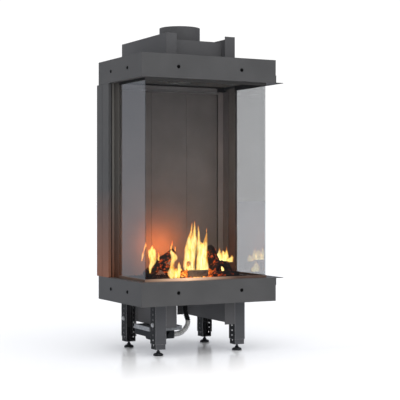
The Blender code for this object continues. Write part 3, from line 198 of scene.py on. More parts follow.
# Stove enamel: sprayed heat-proof paint, matt and faintly mottled by heat and soot. Faces that look up are
# multiplied by "paintedUpLight", and faces that look to the front by "front": painted light where these are
# above 1
def stoveEnamel(tree, spot, look):
    where = spot.outputs["Object"]
    cloud, tone = addMottle(tree, where, look, "cloud", 0.25, {"Detail": 5.0, "Roughness": 0.6})
    facing = addNode(tree, "SeparateXYZ", {0: spot.outputs["Normal"]})
    # Painted light on faces that look up and on faces that look to the front
    upLightShare = addNode(tree, "MapRange", {"Value": facing.outputs["Z"], "From Min": 0.2, "From Max": 0.6,
                    "To Min": 1.0, "To Max": look["paintedUpLight"]})
    paintedFrontLight = addNode(tree, "MapRange", {"Value": facing.outputs["Y"], "From Min": -0.3,
                      "From Max": -0.9, "To Min": 1.0, "To Max": look["front"]})
    share = addNode(tree, "Math", {0: upLightShare, 1: paintedFrontLight}, operation="MULTIPLY")
    shaded = addNode(tree, "VectorMath", {0: tone, 1: share}, operation="MULTIPLY")
    grit = addNode(tree, "TexNoise", {"Scale": 1 / mm / look["grit"], "Detail": 3.0, "Vector": where})
    return addSurface(tree, look, grit, {"Base Color": shaded})


zincLook = {"dark": "#a2a5aa", "pale": "#c4c7cb", "flake": 9, "roughness": 0.42, "spread": 0.08, "bump": 0.15,
            "deep": 0.1, "metallic": 0.5}


# Hot-dip galvanised steel: zinc crystals frozen on the sheet, a patchwork of pale and darker flakes
def galvanised(tree, spot, look):
    flakes = addNode(tree, "TexVoronoi", {"Scale": 1 / mm / look["flake"],
                     "Vector": spot.outputs["Object"]})
    grey = addNode(tree, "RGBToBW", {0: flakes.outputs["Color"]})
    tone = addNode(tree, "ValToRGB", {0: grey}, stops=((0.15, look["dark"]), (0.85, look["pale"])))
    gloss = addNode(tree, "MapRange", {"Value": grey, "To Min": look["roughness"] - look["spread"],
                    "To Max": look["roughness"] + look["spread"]})
    sockets = {"Base Color": tone, "Metallic": look["metallic"], "Roughness": gloss}
    return addSurface(tree, look, flakes, sockets)


stainlessLook = {"dark": "#b4b4b2", "pale": "#d8d8d6", "grain": 1.2, "lines": (1.0, 1.0, 6.0),
                 "roughness": 0.36, "spread": 0.06, "bump": 0.10, "deep": 0.1, "metallic": 0.8}
hoseLook = {**stainlessLook, "dark": "#d0d0ce", "pale": "#f4f4f2", "roughness": 0.26, "metallic": 0.55,
            "paintedShadeFrom": 128, "seam": 4, "paintedShadeColour": "#1a1a1b"}
footLook = {**stainlessLook, "dark": "#343537", "pale": "#4a4b4e", "roughness": 0.34, "metallic": 0.6}
platedLook = {**stainlessLook, "dark": "#b8babe", "pale": "#d4d6da", "grain": 0.8, "lines": (1.0, 1.0, 4.0),
              "roughness": 0.46, "bump": 0.08, "metallic": 0.45}


# Bare bright metal, drawn or turned: fine lines run round it and it mirrors the studio softly. On the hose,
# painted shade turns it near black and not metallic from "paintedShadeFrom" above the floor, where it lies in
# the shade under the base
def brightMetal(tree, spot, look):
    where = spot.outputs["Object"]
    stretched = addNode(tree, "Mapping", {"Vector": where, "Scale": look["lines"]})
    lines, tone = addMottle(tree, stretched, look, "grain", 0.30)
    gloss = addNode(tree, "MapRange", {"Value": lines, "From Min": 0.3, "From Max": 0.7, "To Min":
                    look["roughness"] - look["spread"], "To Max": look["roughness"] + look["spread"]})
    sockets = {"Base Color": tone, "Metallic": look["metallic"], "Roughness": gloss}
    # Painted shade: above "paintedShadeFrom" the hose turns near black and loses its metal, as in the shade
    # under the base
    if "paintedShadeFrom" in look:
        level = addNode(tree, "SeparateXYZ", {0: where})
        paintedShade = addNode(tree, "MapRange", {"Value": level.outputs["Z"], "From Max": look["paintedShadeFrom"] * mm,
                          "From Min": (look["paintedShadeFrom"] - look["seam"]) * mm})
        coat = addNode(tree, "Mix", {0: paintedShade, 6: tone, 7: fromHex(look["paintedShadeColour"])}, data_type="RGBA")
        unshadedMetallic = addNode(tree, "MapRange", {"Value": paintedShade, "To Min": look["metallic"], "To Max": 0.0})
        sockets.update({"Base Color": coat.outputs[2], "Metallic": unshadedMetallic})
    return addSurface(tree, look, lines, sockets)


burnerLook = {"dark": "#4a4a4d", "mid": "#646468", "pale": "#7a7a7e", "bloom": 12, "bump": 0.3, "deep": 0.2,
              "metallic": 0.3, "roughness": 0.6}


# Burner steel: mild steel browned and dulled by the flames, with a dry oxide bloom
def burnerSteel(tree, spot, look):
    bloom = addNode(tree, "TexNoise", {"Scale": 1 / mm / look["bloom"], "Detail": 6.0,
                    "Roughness": 0.65, "Vector": spot.outputs["Object"]})
    tone = addNode(tree, "ValToRGB", {0: bloom},
                   stops=((0.30, look["dark"]), (0.55, look["mid"]), (0.75, look["pale"])))
    return addSurface(tree, look, bloom, {"Base Color": tone, "Metallic": look["metallic"]})


nylonLook = {"dark": "#1f2428", "pale": "#292f34", "grain": 1.0, "roughness": 0.55, "edge": 0.8, "bump": 0.25,
             "deep": 0.2}
# Near black: painted shadow in the gap between the ceiling and the back
shadowStripLook = {**nylonLook, "dark": "#050505", "pale": "#0b0b0b", "roughness": 0.9}


# Glass-filled nylon: moulded, near black, with a fine spark-eroded grain. The near-black strip of painted
# shadow along the ceiling gap has the same grain
def nylon(tree, spot, look):
    grain, tone = addMottle(tree, spot.outputs["Object"], look, "grain", 0.35, {"Detail": 3.0})
    rounding = addNode(tree, "Bevel", {"Radius": look["edge"] * mm}, samples=4)
    return addSurface(tree, look, grain, {"Base Color": tone, "IOR": 1.52}, rounding)


oxideLook = {"dark": "#040405", "pale": "#0a0a0c", "grain": 1.2, "metallic": 0.6, "roughness": 0.55}


# Black-oxidised steel: the screws' thin, slightly oily conversion coat
def blackOxide(tree, spot, look):
    _, tone = addMottle(tree, spot.outputs["Object"], look, "grain", 0.30)
    return addNode(tree, "BsdfPrincipled", {"Base Color": tone, "Metallic": look["metallic"],
                   "Roughness": look["roughness"]})


glassLook = {"dark": "#d6d7d8", "pale": "#dadbdc", "film": 250, "mirror": 2.5, "inner": 0.97,
             "roughness": 0.01}


# Ceramic glass: rolled and polished, tinted grey with a metal-oxide film. Each pane passes about 0.67 of
# what is behind it. Both of its faces mirror, here together at the nearer face
def ceramicGlass(tree, spot, look):
    path = addNode(tree, "LightPath")
    seen = addNode(tree, "Math", {0: path.outputs["Is Camera Ray"], 1: path.outputs["Is Glossy Ray"]},
                   operation="MAXIMUM")
    facing = addNode(tree, "NewGeometry").outputs["Backfacing"]
    front = addNode(tree, "Math", {0: 1.0, 1: facing}, operation="SUBTRACT")
    tinted = addNode(tree, "Math", {0: seen, 1: front}, operation="MULTIPLY")
    _, tint = addMottle(tree, spot.outputs["Object"], look, "film", 0.20)
    colour = addNode(tree, "Mix", {0: tinted, 6: (*[look["inner"]] * 3, 1), 7: tint}, data_type="RGBA")
    clear = addNode(tree, "BsdfTransparent", {0: colour.outputs[2]})
    mirror = addNode(tree, "BsdfGlossy", {"Color": (1, 1, 1, 1), "Roughness": look["roughness"]})
    fresnel = addNode(tree, "Fresnel", {"IOR": 1.5})
    twice = addNode(tree, "Math", {0: fresnel, 1: look["mirror"]}, operation="MULTIPLY")
    share = addNode(tree, "Math", {0: twice, 1: front}, operation="MULTIPLY", use_clamp=True)
    return addNode(tree, "MixShader", {0: share, 1: clear, 2: mirror})


logLook = {"char": "#050302", "bark": "#1d0e09", "ashColour": "#2a140c", "block": 9, "ash": 6, "patch": 14,
           "bump": 0.8, "deep": 2, "roughness": 0.9, "glowFrom": 0.55, "glowTo": 0.69, "glow": 1.4,
           "middle": (258, 110, 330), "near": 60, "reach": 190, "warmth": (0.08, -0.06), "cracked": 0.25,
           "redStops": ((0.35, "#7c1a06"), (0.60, "#ee5c16"))}


# Ceramic fibre log: vacuum-formed and painted as charred wood, black and cracked into small blocks,
# glowing red in patches that fade with distance from the burner
def charredCeramic(tree, spot, look):
    where = spot.outputs["Object"]
    warp = addNode(tree, "TexNoise", {"Scale": 1 / mm / look["patch"], "Detail": 3.0, "Vector": where})
    cracks = addNode(tree, "TexVoronoi", {"Scale": 1 / mm / look["block"], "Vector": where},
                     feature="DISTANCE_TO_EDGE")
    ash = addNode(tree, "TexNoise", {"Scale": 1 / mm / look["ash"], "Detail": 5.0, "Roughness": 0.7,
                  "Vector": where})
    tone = addNode(tree, "ValToRGB", {0: ash},
                   stops=((0.35, look["char"]), (0.60, look["bark"]), (0.80, look["ashColour"])))
    height = addNode(tree, "Math", {0: cracks, 1: look["cracked"]}, operation="MINIMUM")
    apart = addNode(tree, "VectorMath", {0: where, 1: tuple(place(look["middle"]))},
                    operation="DISTANCE")
    near = addNode(tree, "MapRange", {"Value": apart.outputs["Value"], "From Min": look["near"] * mm,
                   "From Max": look["reach"] * mm, "To Min": look["warmth"][0], "To Max": look["warmth"][1]})
    warmth = addNode(tree, "Math", {0: warp, 1: near}, operation="ADD")
    glowMask = addNode(tree, "ValToRGB", {0: warmth}, stops=((look["glowFrom"], 0.0), (look["glowTo"], 1.0)))
    glow = addNode(tree, "Math", {0: glowMask, 1: look["glow"]}, operation="MULTIPLY")
    red = addNode(tree, "ValToRGB", {0: ash}, stops=look["redStops"])
    sockets = {"Base Color": tone, "Emission Color": red, "Emission Strength": glow}
    return addSurface(tree, look, height, sockets)


emberLook = {"dark": "#170d09", "pale": "#46281c", "grain": 6, "patch": 30, "bump": 0.8, "deep": 2,
             "roughness": 0.88, "middle": (300, 135, 305), "near": 42.5, "reach": 170, "glow": 3.0,
             "heatStops": ((0.26, "#a82a06"), (0.40, "#f06a14"), (0.55, "#ffb04a"))}


# Ember granules: crushed vermiculite and ceramic, dark at the edges of the bed and glowing near the burner.
# The glow falls with distance from the burner's middle and breaks up in patches
def emberCeramic(tree, spot, look):
    where = spot.outputs["Object"]
    grains = addNode(tree, "TexVoronoi", {"Scale": 1 / mm / look["grain"], "Vector": where})
    shade = addNode(tree, "RGBToBW", {0: grains.outputs["Color"]})
    tone = addNode(tree, "ValToRGB", {0: shade}, stops=((0.2, look["dark"]), (0.8, look["pale"])))
    patch = addNode(tree, "TexNoise", {"Scale": 1 / mm / look["patch"], "Vector": where})
    away = addNode(tree, "VectorMath", {0: where, 1: tuple(place(look["middle"]))},
                   operation="DISTANCE")
    near = addNode(tree, "MapRange", {"Value": away.outputs["Value"], "From Min": look["near"] * mm,
                   "From Max": look["reach"] * mm, "To Min": 1.0, "To Max": 0.0})
    glowMask = addNode(tree, "Math", {0: patch, 1: near}, operation="MULTIPLY")
    rise = addNode(tree, "MapRange", {"Value": glowMask, "From Min": 0.26, "From Max": 0.52,
                   "To Max": look["glow"]})
    colour = addNode(tree, "ValToRGB", {0: glowMask}, stops=look["heatStops"])
    sockets = {"Base Color": tone, "Emission Color": colour, "Emission Strength": rise}
    return addSurface(tree, look, grains, sockets)


flameLook = {"edge": "#dc4a10", "mid": "#ff9c2c", "core": "#ffe060", "hot": "#fff2a8", "tongue": 9,
             "draw": 0.25, "split": 0.80, "cooling": -0.12, "strength": 0.86}


# Burning gas: pale yellow where the flame is thick, orange and see-through at its edge and its tip. The
# piece's "core" attribute is 0 at the edge and 1 in the thick part; "rise" runs 0 to 1 up the flame.
# Noise drawn out upwards splits it into tongues. A flame adds its light to what is behind it
def burningGas(tree, spot, look):
    core = addNode(tree, "Attribute", attribute_name="core").outputs["Fac"]
    rise = addNode(tree, "Attribute", attribute_name="rise").outputs["Fac"]
    drawn = addNode(tree, "Mapping", {"Vector": spot.outputs["Object"], "Scale": (1, 1, look["draw"])})
    tongue = addNode(tree, "TexNoise", {"Scale": 1 / mm / look["tongue"], "Detail": 3.0,
                     "Distortion": 0.6, "Vector": drawn})
    uneven = addNode(tree, "MapRange", {"Value": tongue, "From Min": 0.30, "From Max": 0.62,
                     "To Min": -look["split"], "To Max": 0.12})
    cooled = addNode(tree, "Math", {0: rise, 1: look["cooling"], 2: uneven}, operation="MULTIPLY_ADD")
    level = addNode(tree, "Math", {0: core, 1: cooled}, operation="ADD")
    colour = addNode(tree, "ValToRGB", {0: level}, stops=(
        (0.0, look["edge"]), (0.22, look["mid"]), (0.55, look["core"]), (0.95, look["hot"])))
    fade = addNode(tree, "MapRange", {"Value": level, "From Min": -0.25, "From Max": 0.30,
                   "To Max": look["strength"]})
    light = addNode(tree, "Emission", {"Color": colour, "Strength": fade})
    clear = addNode(tree, "BsdfTransparent")
    return addNode(tree, "AddShader", {0: clear, 1: light})


# Each finish's material, recipe and look, named for the CAD slot where it has one
recipes = {
    "grey_enamel_steel": ("powderCoatedSteel", powderCoat, steelLook),
    "column": ("paintedFirelightPowderCoat", powderCoat, columnLook),
    "leg": ("legPowderCoat", powderCoat, legLook),
    "bracket": ("bracketPowderCoat", powderCoat, bracketLook),
    "top": ("topPowderCoat", powderCoat, topLook),
    "ledge": ("ledgePowderCoat", powderCoat, ledgeLook),
    "post": ("paintedLightPostCoat", powderCoat, paintedLightPostLook),
    "rightPost": ("rightPostPowderCoat", powderCoat, paintedLightRightPostLook),
    "base": ("satinPowderCoat", powderCoat, baseLook),
    "channel": ("paintedShadeChannelCoat", powderCoat, shadedChannelLook),
    "firelit": ("paintedFirelightSteel", powderCoat, paintedFirelightLook),
    "foot": ("blackZincPlatedSteel", brightMetal, footLook),
    "hose": ("topShadedStainlessSteel", brightMetal, hoseLook),
    "ceiling": ("ceilingEnamel", stoveEnamel, ceilingLook),
    "rail": ("paintedLightRailEnamel", stoveEnamel, railLook),
    "liner": ("paintedLightLinerEnamel", stoveEnamel, linerLook),
    "gapShadow": ("gapShadowEnamel", stoveEnamel, gapShadowLook),
    "chamber_enamel": ("stoveEnamel", stoveEnamel, liningLook),
    "galvanised_steel": ("hotDipGalvanisedSteel", galvanised, zincLook),
    "stainless_steel": ("drawnStainlessSteel", brightMetal, stainlessLook),
    "zinc_plated_steel": ("zincPlatedSteel", brightMetal, platedLook),
    "burner_steel": ("heatStainedSteel", burnerSteel, burnerLook),
    "black_polymer": ("glassFilledNylon", nylon, nylonLook),
    "shadowStrip": ("shadowStripRope", nylon, shadowStripLook),
    "black_oxide_steel": ("blackOxidisedSteel", blackOxide, oxideLook),
    "ceramic_glass": ("tintedCeramicGlass", ceramicGlass, glassLook),
    "ceramic_fibre": ("charredCeramicFibre", charredCeramic, logLook),
    "ember_granules": ("crushedEmberCeramic", emberCeramic, emberLook),
    "flame": ("burningGas", burningGas, flameLook),
}
finishes = {finish: makeFinish(*parts) for finish, parts in recipes.items()}
# The nodes whose coat isn't their CAD slot's, by how their names start
coats = {"rear_casing": "column", "side_column_": "column", "glass_post_left": "post",
         "glass_post_right": "rightPost", "leg_": "leg", "base_shell": "base", "bottom_bracket_": "bracket",
         "top_bracket_": "top", "air_deflector": "top", "flue_collar": "top", "hood_ledge": "ledge",
         "upper_glass_channel": "channel", "lower_glass_channel": "firelit", "chamber_back": "gapShadow",
         "ceiling_panel": "ceiling", "top_rail": "rail", "side_liner_": "liner"}
for name, node in cadNodes.items():
    coat = [finishes[finish] for start, finish in coats.items() if name.startswith(start)]
    for slot in node.material_slots:
        slot.material = coat[0] if coat else finishes[slot.material.name.split(".")[0]]
print("finishes made:", len(finishes))


# Surfaces

# Rows of points (i, j) become quads from (i, j) to (i + 1, j + 1), joined round each row. A fan round the
# mean of the first and of the last row closes the ends. The signed volume, the sum of a . (b x c) over the
# triangles, says which way the faces point, and they are turned if it is negative
def skin(name, rows, finish, body, marks=None, sharp=35):
    count, across, _ = rows.shape
    ends = np.array([rows[0].mean(axis=0), rows[-1].mean(axis=0)])
    points = np.vstack([rows.reshape(-1, 3), ends])
    i, j = np.meshgrid(np.arange(count - 1), np.arange(across), indexing="ij")
    after = (j + 1) % across
    near, far = i * across, (i + 1) * across
    quads = np.stack([near + j, near + after, far + after, far + j], axis=-1).reshape(-1, 4)
    ring = np.arange(across)
    turned = (ring + 1) % across
    last = (count - 1) * across
    first = count * across
    fans = np.vstack([np.stack([np.full(across, first), turned, ring], axis=-1),
                      np.stack([np.full(across, first + 1), last + ring, last + turned], axis=-1)])
    triangles = np.vstack([quads[:, :3], quads[:, [0, 2, 3]], fans])
    a, b, c = points[triangles[:, 0]], points[triangles[:, 1]], points[triangles[:, 2]]
    middle = points.mean(axis=0)
    if np.einsum("ij,ij->", a - middle, np.cross(b - middle, c - middle)) < 0:
        quads = quads[:, ::-1]
        fans = fans[:, ::-1]
    mesh = bpy.data.meshes.new(name)
    mesh.from_pydata(points.tolist(), [], quads.tolist() + fans.tolist())
    for mark, values in (marks or {}).items():
        ends = [values[0].mean(), values[-1].mean()]
        mesh.attributes.new(mark, "FLOAT", "POINT").data.foreach_set(
            "value", np.concatenate([values.reshape(-1), ends]).astype(np.float32))
    return dress(name, mesh, finish, body, sharp)


# A mesh becomes a piece that rides a body, with its edges sharp past an angle in degrees
def dress(name, mesh, finish, body, sharp=35):
    mesh.materials.append(finishes[finish])
    mesh.shade_smooth()
    mesh.set_sharp_from_angle(angle=math.radians(sharp))
    piece = bpy.data.objects.new(name, mesh)
    bpy.context.scene.collection.objects.link(piece)
    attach(piece, body)
    return piece


# So many angles round a full turn
def turns(count):
    return np.arange(count) * fullTurn / count


# A turned form. Its profile's (radius, height, flats) points go round the axis: the point at angle t is
# centre + r cos t side + r sin t up + h axis. With n flats, r is times cos(pi / n) / cos(t's angle from the
# nearest flat's middle), which makes the circle a polygon
def turnedRows(profile, centre, axis, sides):
    radius, height, flats = np.array(profile, dtype=float).T
    angle = turns(sides)
    reach = np.repeat(radius[:, None], sides, axis=1)
    for row, count in enumerate(flats):
        if count:
            step = fullTurn / count
            reach[row] *= math.cos(step / 2) / np.cos(angle % step - step / 2)
    axis = np.array(axis, dtype=float)
    side = np.cross(axis, (0.0, 0.0, 1.0) if abs(axis[2]) < 0.5 else (0.0, 1.0, 0.0))
    up = np.cross(axis, side)
    around = np.cos(angle)[:, None] * side + np.sin(angle)[:, None] * up
    return np.array(centre) + reach[..., None] * around + height[:, None, None] * axis


# A smooth value at each share along a list, by Catmull-Rom: with t between two values p1 and p2,
# (2 p1 + (p2 - p0) t + (2 p0 - 5 p1 + 4 p2 - p3) t^2 + (3 p1 - p0 - 3 p2 + p3) t^3) / 2
def along(values, shares):
    values = np.asarray(values, dtype=float)
    spot = np.clip(shares, 0, 1) * (len(values) - 1)
    index = np.minimum(spot.astype(int), len(values) - 2)
    t = (spot - index).reshape((-1,) + (1,) * (values.ndim - 1))
    before, first = values[np.maximum(index - 1, 0)], values[index]
    second, after = values[index + 1], values[np.minimum(index + 2, len(values) - 1)]
    return 0.5 * (2 * first + (second - before) * t + (2 * before - 5 * first + 4 * second - after) * t ** 2
                  + (3 * first - before - 3 * second + after) * t ** 3)


# Fixings

# Button-head screws in the hood and the base, with a hexagon socket. A profile's rows are (radius, height,
# flats), and "right" is where the right-hand face stands
coverScrew = {"profile": ((7.0, 0, 0), (7.0, 0.5, 0), (6.6, 1.3, 0), (5.6, 2.2, 0), (4.3, 2.8, 0),
                          (2.95, 3.0, 0), (2.6, 2.9, 6), (2.6, 1.4, 6), (0.78, 1.1, 6)),
              "sides": 36, "hood": 1133, "base": 253.7, "front": (159, 441), "side": (132, 294), "right": 600}


def makeCoverScrew(name, centre, axis):
    rows = turnedRows(coverScrew["profile"], centre, axis, coverScrew["sides"])
    skin(name, place(rows), "black_oxide_steel", "casing")


for part in ("hood", "base"):
    level = coverScrew[part]
    for number, u in enumerate(coverScrew["front"]):
        makeCoverScrew(f"coverScrew_{part}_front_{number + 1}", (u, 0, level), (0, -1, 0))
    for number, v in enumerate(coverScrew["side"]):
        makeCoverScrew(f"coverScrew_{part}_left_{number + 1}", (0, v, level), (-1, 0, 0))
        makeCoverScrew(f"coverScrew_{part}_right_{number + 1}", (coverScrew["right"], v, level), (1, 0, 0))

# Bright bolts that clamp the inner legs. The head is a washer edge and a dome of radius R cos t and height
# 1.8 + 6.2 sin t
clampBolt = {"edge": ((9.5, 0, 0), (9.5, 1.2, 0), (8.8, 1.5, 0)), "dome": 8.8, "from": 1.8, "rise": 6.2,
             "rings": 9, "level": 121, "out": 23, "sides": 36}
for corner, (u, v) in legMiddles.items():
    look = clampBolt
    way = -1 if corner.endswith("left") else 1
    tilt = np.arange(look["rings"]) * math.pi / 2 / look["rings"]
    profile = [*look["edge"], *((look["dome"] * math.cos(t), look["from"] + look["rise"] * math.sin(t), 0)
                                for t in tilt)]
    rows = turnedRows(profile, (u + way * look["out"], v, look["level"]), (way, 0, 0), look["sides"])
    skin(f"clampBolt_{corner}", place(rows), "zinc_plated_steel", "casing")

# Levelling feet: a pressed pad, a lock nut with six flats and a threaded spindle
screwFoot = {"pad": ((18.5, 0, 0), (19.6, 0.6, 0), (20, 1.6, 0), (20, 3.8, 0), (19.5, 5.2, 0), (17.6, 7.4, 0),
                     (14.4, 9.6, 0), (10.8, 11.2, 0), (8.6, 11.8, 0), (8.2, 12, 0)),
             "nut": ((6.8, 12, 0), (7.905, 12.1, 0), (8.5, 12.8, 6), (8.5, 16.2, 6), (7.905, 16.9, 0),
                     (6.8, 17, 0)),
             "sides": 48, "spindle": 5.0, "thread": 0.55, "pitch": 1.5, "top": 85.0, "across": 32,
             "perTurn": 6}
for corner, (u, v) in legMiddles.items():
    look = screwFoot
    body = f"screw_foot_{corner}"
    rows = turnedRows(look["pad"], (u, v, 0), (0, 0, 1), look["sides"])
    footPad = skin(f"footPad_{corner}", place(rows), "foot", body)
    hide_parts(f"foot_{corner}")
    rows = turnedRows(look["nut"], (u, v, 0), (0, 0, 1), look["sides"])
    skin(f"footNut_{corner}", place(rows), "foot", body)
    # The thread is a triangle wave of height and angle: r = R - d |2 frac(h / pitch - t / 2 pi) - 1|
    low = look["nut"][-1][1]
    height = np.linspace(low, look["top"], int((look["top"] - low) / look["pitch"] * look["perTurn"]))
    angle = turns(look["across"])
    wave = (height[:, None] / look["pitch"] - angle[None, :] / fullTurn) % 1
    reach = look["spindle"] - look["thread"] * np.abs(2 * wave - 1)
    rows = np.stack([u + reach * np.cos(angle), v + reach * np.sin(angle),
                     np.repeat(height[:, None], look["across"], axis=1)], axis=-1)
    skin(f"footSpindle_{corner}", place(rows), "foot", body, sharp=70)
print("fixings made")


# Gas hose

# Corrugated metal hose: out of the valve, round a bulge and up into the burner's inlet. A circle of radius
# root + (crest - root) (1 + cos(2 pi s / pitch)) / 2 follows a smooth curve through the stops
gasHose = {"crest": 11.0, "root": 8.4, "end": 10.4, "pitch": 7.0, "v": 160.0, "cuff": 16.0, "sides": 40,
           "step": 0.5, "samples": 800,
           "stops": ((213.3, 73.9), (229, 73.9), (246, 76.9), (261.5, 85.9), (274, 99.4), (280.5, 115.9),
                     (279.5, 131.4), (273.5, 147.9), (269.5, 164.4), (268, 182.9), (268, 215), (268, 248.3))}
look = gasHose
fine = along([(u, look["v"], z) for u, z in look["stops"]], np.linspace(0, 1, look["samples"]))
reached = np.concatenate([[0], np.cumsum(np.linalg.norm(np.diff(fine, axis=0), axis=1))])
length = reached[-1]
distance = np.linspace(0, length, int(length / look["step"]))
route = np.stack([np.interp(distance, reached, fine[:, i]) for i in range(3)], axis=-1)
ahead = np.gradient(route, axis=0)
ahead /= np.linalg.norm(ahead, axis=1, keepdims=True)
across = np.array([0.0, 1.0, 0.0])
side = np.cross(across, ahead)[:, None, :]
ribbed = (distance > look["cuff"]) & (distance < length - look["cuff"])
wave = (1 + np.cos(fullTurn * (distance - look["cuff"]) / look["pitch"])) / 2
reach = np.where(ribbed, look["root"] + (look["crest"] - look["root"]) * wave, look["end"])
angle = turns(look["sides"])[:, None]
rows = route[:, None, :] + reach[:, None, None] * (np.cos(angle) * side + np.sin(angle) * across)
hose = skin("corrugatedGasHose", place(rows), "hose", "casing", sharp=80)
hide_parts("gas_hose")
print("hose made")


# A near-black rope-shaped strip along the gap between the ceiling and the back: painted shadow, standing in
# for the shade in that gap. At angle a its radius is 3 (1 + 0.06 cos(3 a - 2 pi u / 9)) / 1.06
ceilingShadowStrip = {"radius": 3.0, "strand": 9.0, "lay": 0.06, "from": 72.0, "to": 528.0, "v": 362.7, "z": 1093.5,
               "rings": 300, "sides": 24}
look = ceilingShadowStrip
u = np.linspace(look["from"], look["to"], look["rings"])[:, None]
angle = turns(look["sides"])[None, :]
strands = 1 + look["lay"] * np.cos(3 * angle - fullTurn * u / look["strand"])
reach = look["radius"] * strands / (1 + look["lay"])
v, z = look["v"] + reach * np.cos(angle), look["z"] + reach * np.sin(angle)
rows = np.stack([u + 0 * angle, v, z], axis=-1)
skin("ceilingShadowStrip", place(rows), "shadowStrip", "casing", sharp=80)
print("seal made")


# Logs and embers

# The logs' routes are shares of the bed's width, of its depth and of "high". None goes under "rest"
fireBed = {"left": 75.0, "front": 75.0, "width": 450.0, "depth": 225.0, "top": 302.6, "high": 140.0,
           "rest": 302.9}
logs = {
    "log_left_leaning": {"route": ((0.03, 0.31, 0.05), (0.16, 0.35, 0.41), (0.325, 0.40, 0.73)),
                         "radii": (21.0, 20.0, 16.0), "seed": 3},
    "log_left_cross": {"route": ((0.315, 0.36, 0.08), (0.26, 0.32, 0.20), (0.17, 0.24, 0.345)),
                       "radii": (20.0, 20.0, 17.0), "seed": 5},
    "log_right_leaning": {"route": ((0.765, 0.40, -0.03), (0.71, 0.37, 0.48), (0.66, 0.34, 0.86)),
                          "radii": (25.0, 25.0, 20.0), "seed": 8},
    "log_right_arch": {"route": ((0.675, 0.215, -0.04), (0.69, 0.225, 0.24), (0.745, 0.235, 0.375),
                                 (0.82, 0.245, 0.28), (0.855, 0.25, -0.04)),
                       "radii": (13.0, 10.5, 10.5, 14.0, 18.0), "seed": 13},
    "log_right_front": {"route": ((0.63, 0.075, 0.075), (0.76, 0.065, 0.085), (0.90, 0.080, 0.07)),
                        "radii": (10.5, 12.0, 10.0), "seed": 21},
}
bark = {"rings": 110, "sides": 84, "lump": 0.14, "furrow": 0.11, "blocks": 0.09, "end": 0.66}


# A log: a circle of radius r(s) carried along the route, times
# 1 + 0.14 sin(3a + 5s) cos(2a - 9s) for its lumps, less furrows |sin(n a + wander(s))| along the grain
# and cross cracks |sin(m s + wander(a))|, both smoothed by a power. It is flat where it lies on the bed
def logRows(log):
    share = np.linspace(0, 1, bark["rings"])
    middle = along(log["route"], share)
    scale = (fireBed["width"], fireBed["depth"], fireBed["high"])
    middle = middle * scale + (fireBed["left"], fireBed["front"], fireBed["top"])
    ahead = (along(log["route"], share + 0.02) - along(log["route"], share - 0.02)) * scale
    side = np.cross(ahead, (0.3, 1, 0.2))
    side /= np.linalg.norm(side, axis=1, keepdims=True)
    up = np.cross(side, ahead)
    up /= np.linalg.norm(up, axis=1, keepdims=True)
    chance = np.random.default_rng(log["seed"])
    phase = chance.uniform(0, fullTurn, 6)
    angle = turns(bark["sides"])[None, :]
    s = share[:, None]
    lumps = bark["lump"] * np.sin(3 * angle + 5 * s) * np.cos(2 * angle - 9 * s)
    wander = 0.6 * np.sin(9 * s + phase[0]) + 0.3 * np.sin(23 * s + phase[1])
    furrows = np.abs(np.sin(4.5 * (angle + 0 * s) + wander + 0.3 * np.sin(2 * angle + phase[2]))) ** 0.6
    wobble = 0.9 * np.sin(2 * angle + phase[3]) + 0.5 * np.sin(5 * angle + phase[4])
    blocks = np.abs(np.sin(17 * s + wobble)) ** 0.5
    reach = along(log["radii"], share)[:, None] * (1 + lumps - bark["furrow"] * (1 - furrows)
                                                   - bark["blocks"] * (1 - blocks))
    ends = np.minimum(share, 1 - share) * (bark["rings"] - 1)
    reach = reach * (1 - (1 - bark["end"]) * np.clip(1 - ends / 4, 0, 1) ** 2)[:, None]
    rows = middle[:, None, :] + reach[..., None] * (np.cos(angle)[..., None] * side[:, None, :]
                                                    + np.sin(angle)[..., None] * up[:, None, :])
    rows[..., 2] = np.maximum(rows[..., 2], fireBed["rest"])
    return rows


for name, log in logs.items():
    charred = name.replace("log_", "charredLog_")
    piece = skin(charred, place(logRows(log)), "ceramic_fibre", "casing", sharp=60)
    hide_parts(name)
print("logs made:", len(logs))

# Crushed granules over the bed: each is a 12-cornered stone, stretched, turned and dropped at a place of its
# own. The last ones are heaped against the left and right sides of the clearing round the burner block
granules = {"count": 1500, "heaped": 520, "least": 2.2, "most": 5.0, "seed": 11, "top": 302.2, "margin": 7,
            "clearing": (248, 352, 99, 171), "heap": (97, 177), "high": 34, "wide": 44,
            "stretch": (0.65, 1.2), "rough": 0.25, "lean": 0.7, "sunk": 0.35}
golden = (1 + 5 ** 0.5) / 2
stone = np.array([(-1, golden, 0), (1, golden, 0), (-1, -golden, 0), (1, -golden, 0),
                  (0, -1, golden), (0, 1, golden), (0, -1, -golden), (0, 1, -golden),
                  (golden, 0, -1), (golden, 0, 1), (-golden, 0, -1), (-golden, 0, 1)])
stone /= np.linalg.norm(stone[0])
stoneFaces = np.array([(0, 11, 5), (0, 5, 1), (0, 1, 7), (0, 7, 10), (0, 10, 11), (1, 5, 9), (5, 11, 4),
                       (11, 10, 2), (10, 7, 6), (7, 1, 8), (3, 9, 4), (3, 4, 2), (3, 2, 6), (3, 6, 8),
                       (3, 8, 9), (4, 9, 5), (2, 4, 11), (6, 2, 10), (8, 6, 7), (9, 8, 1)])


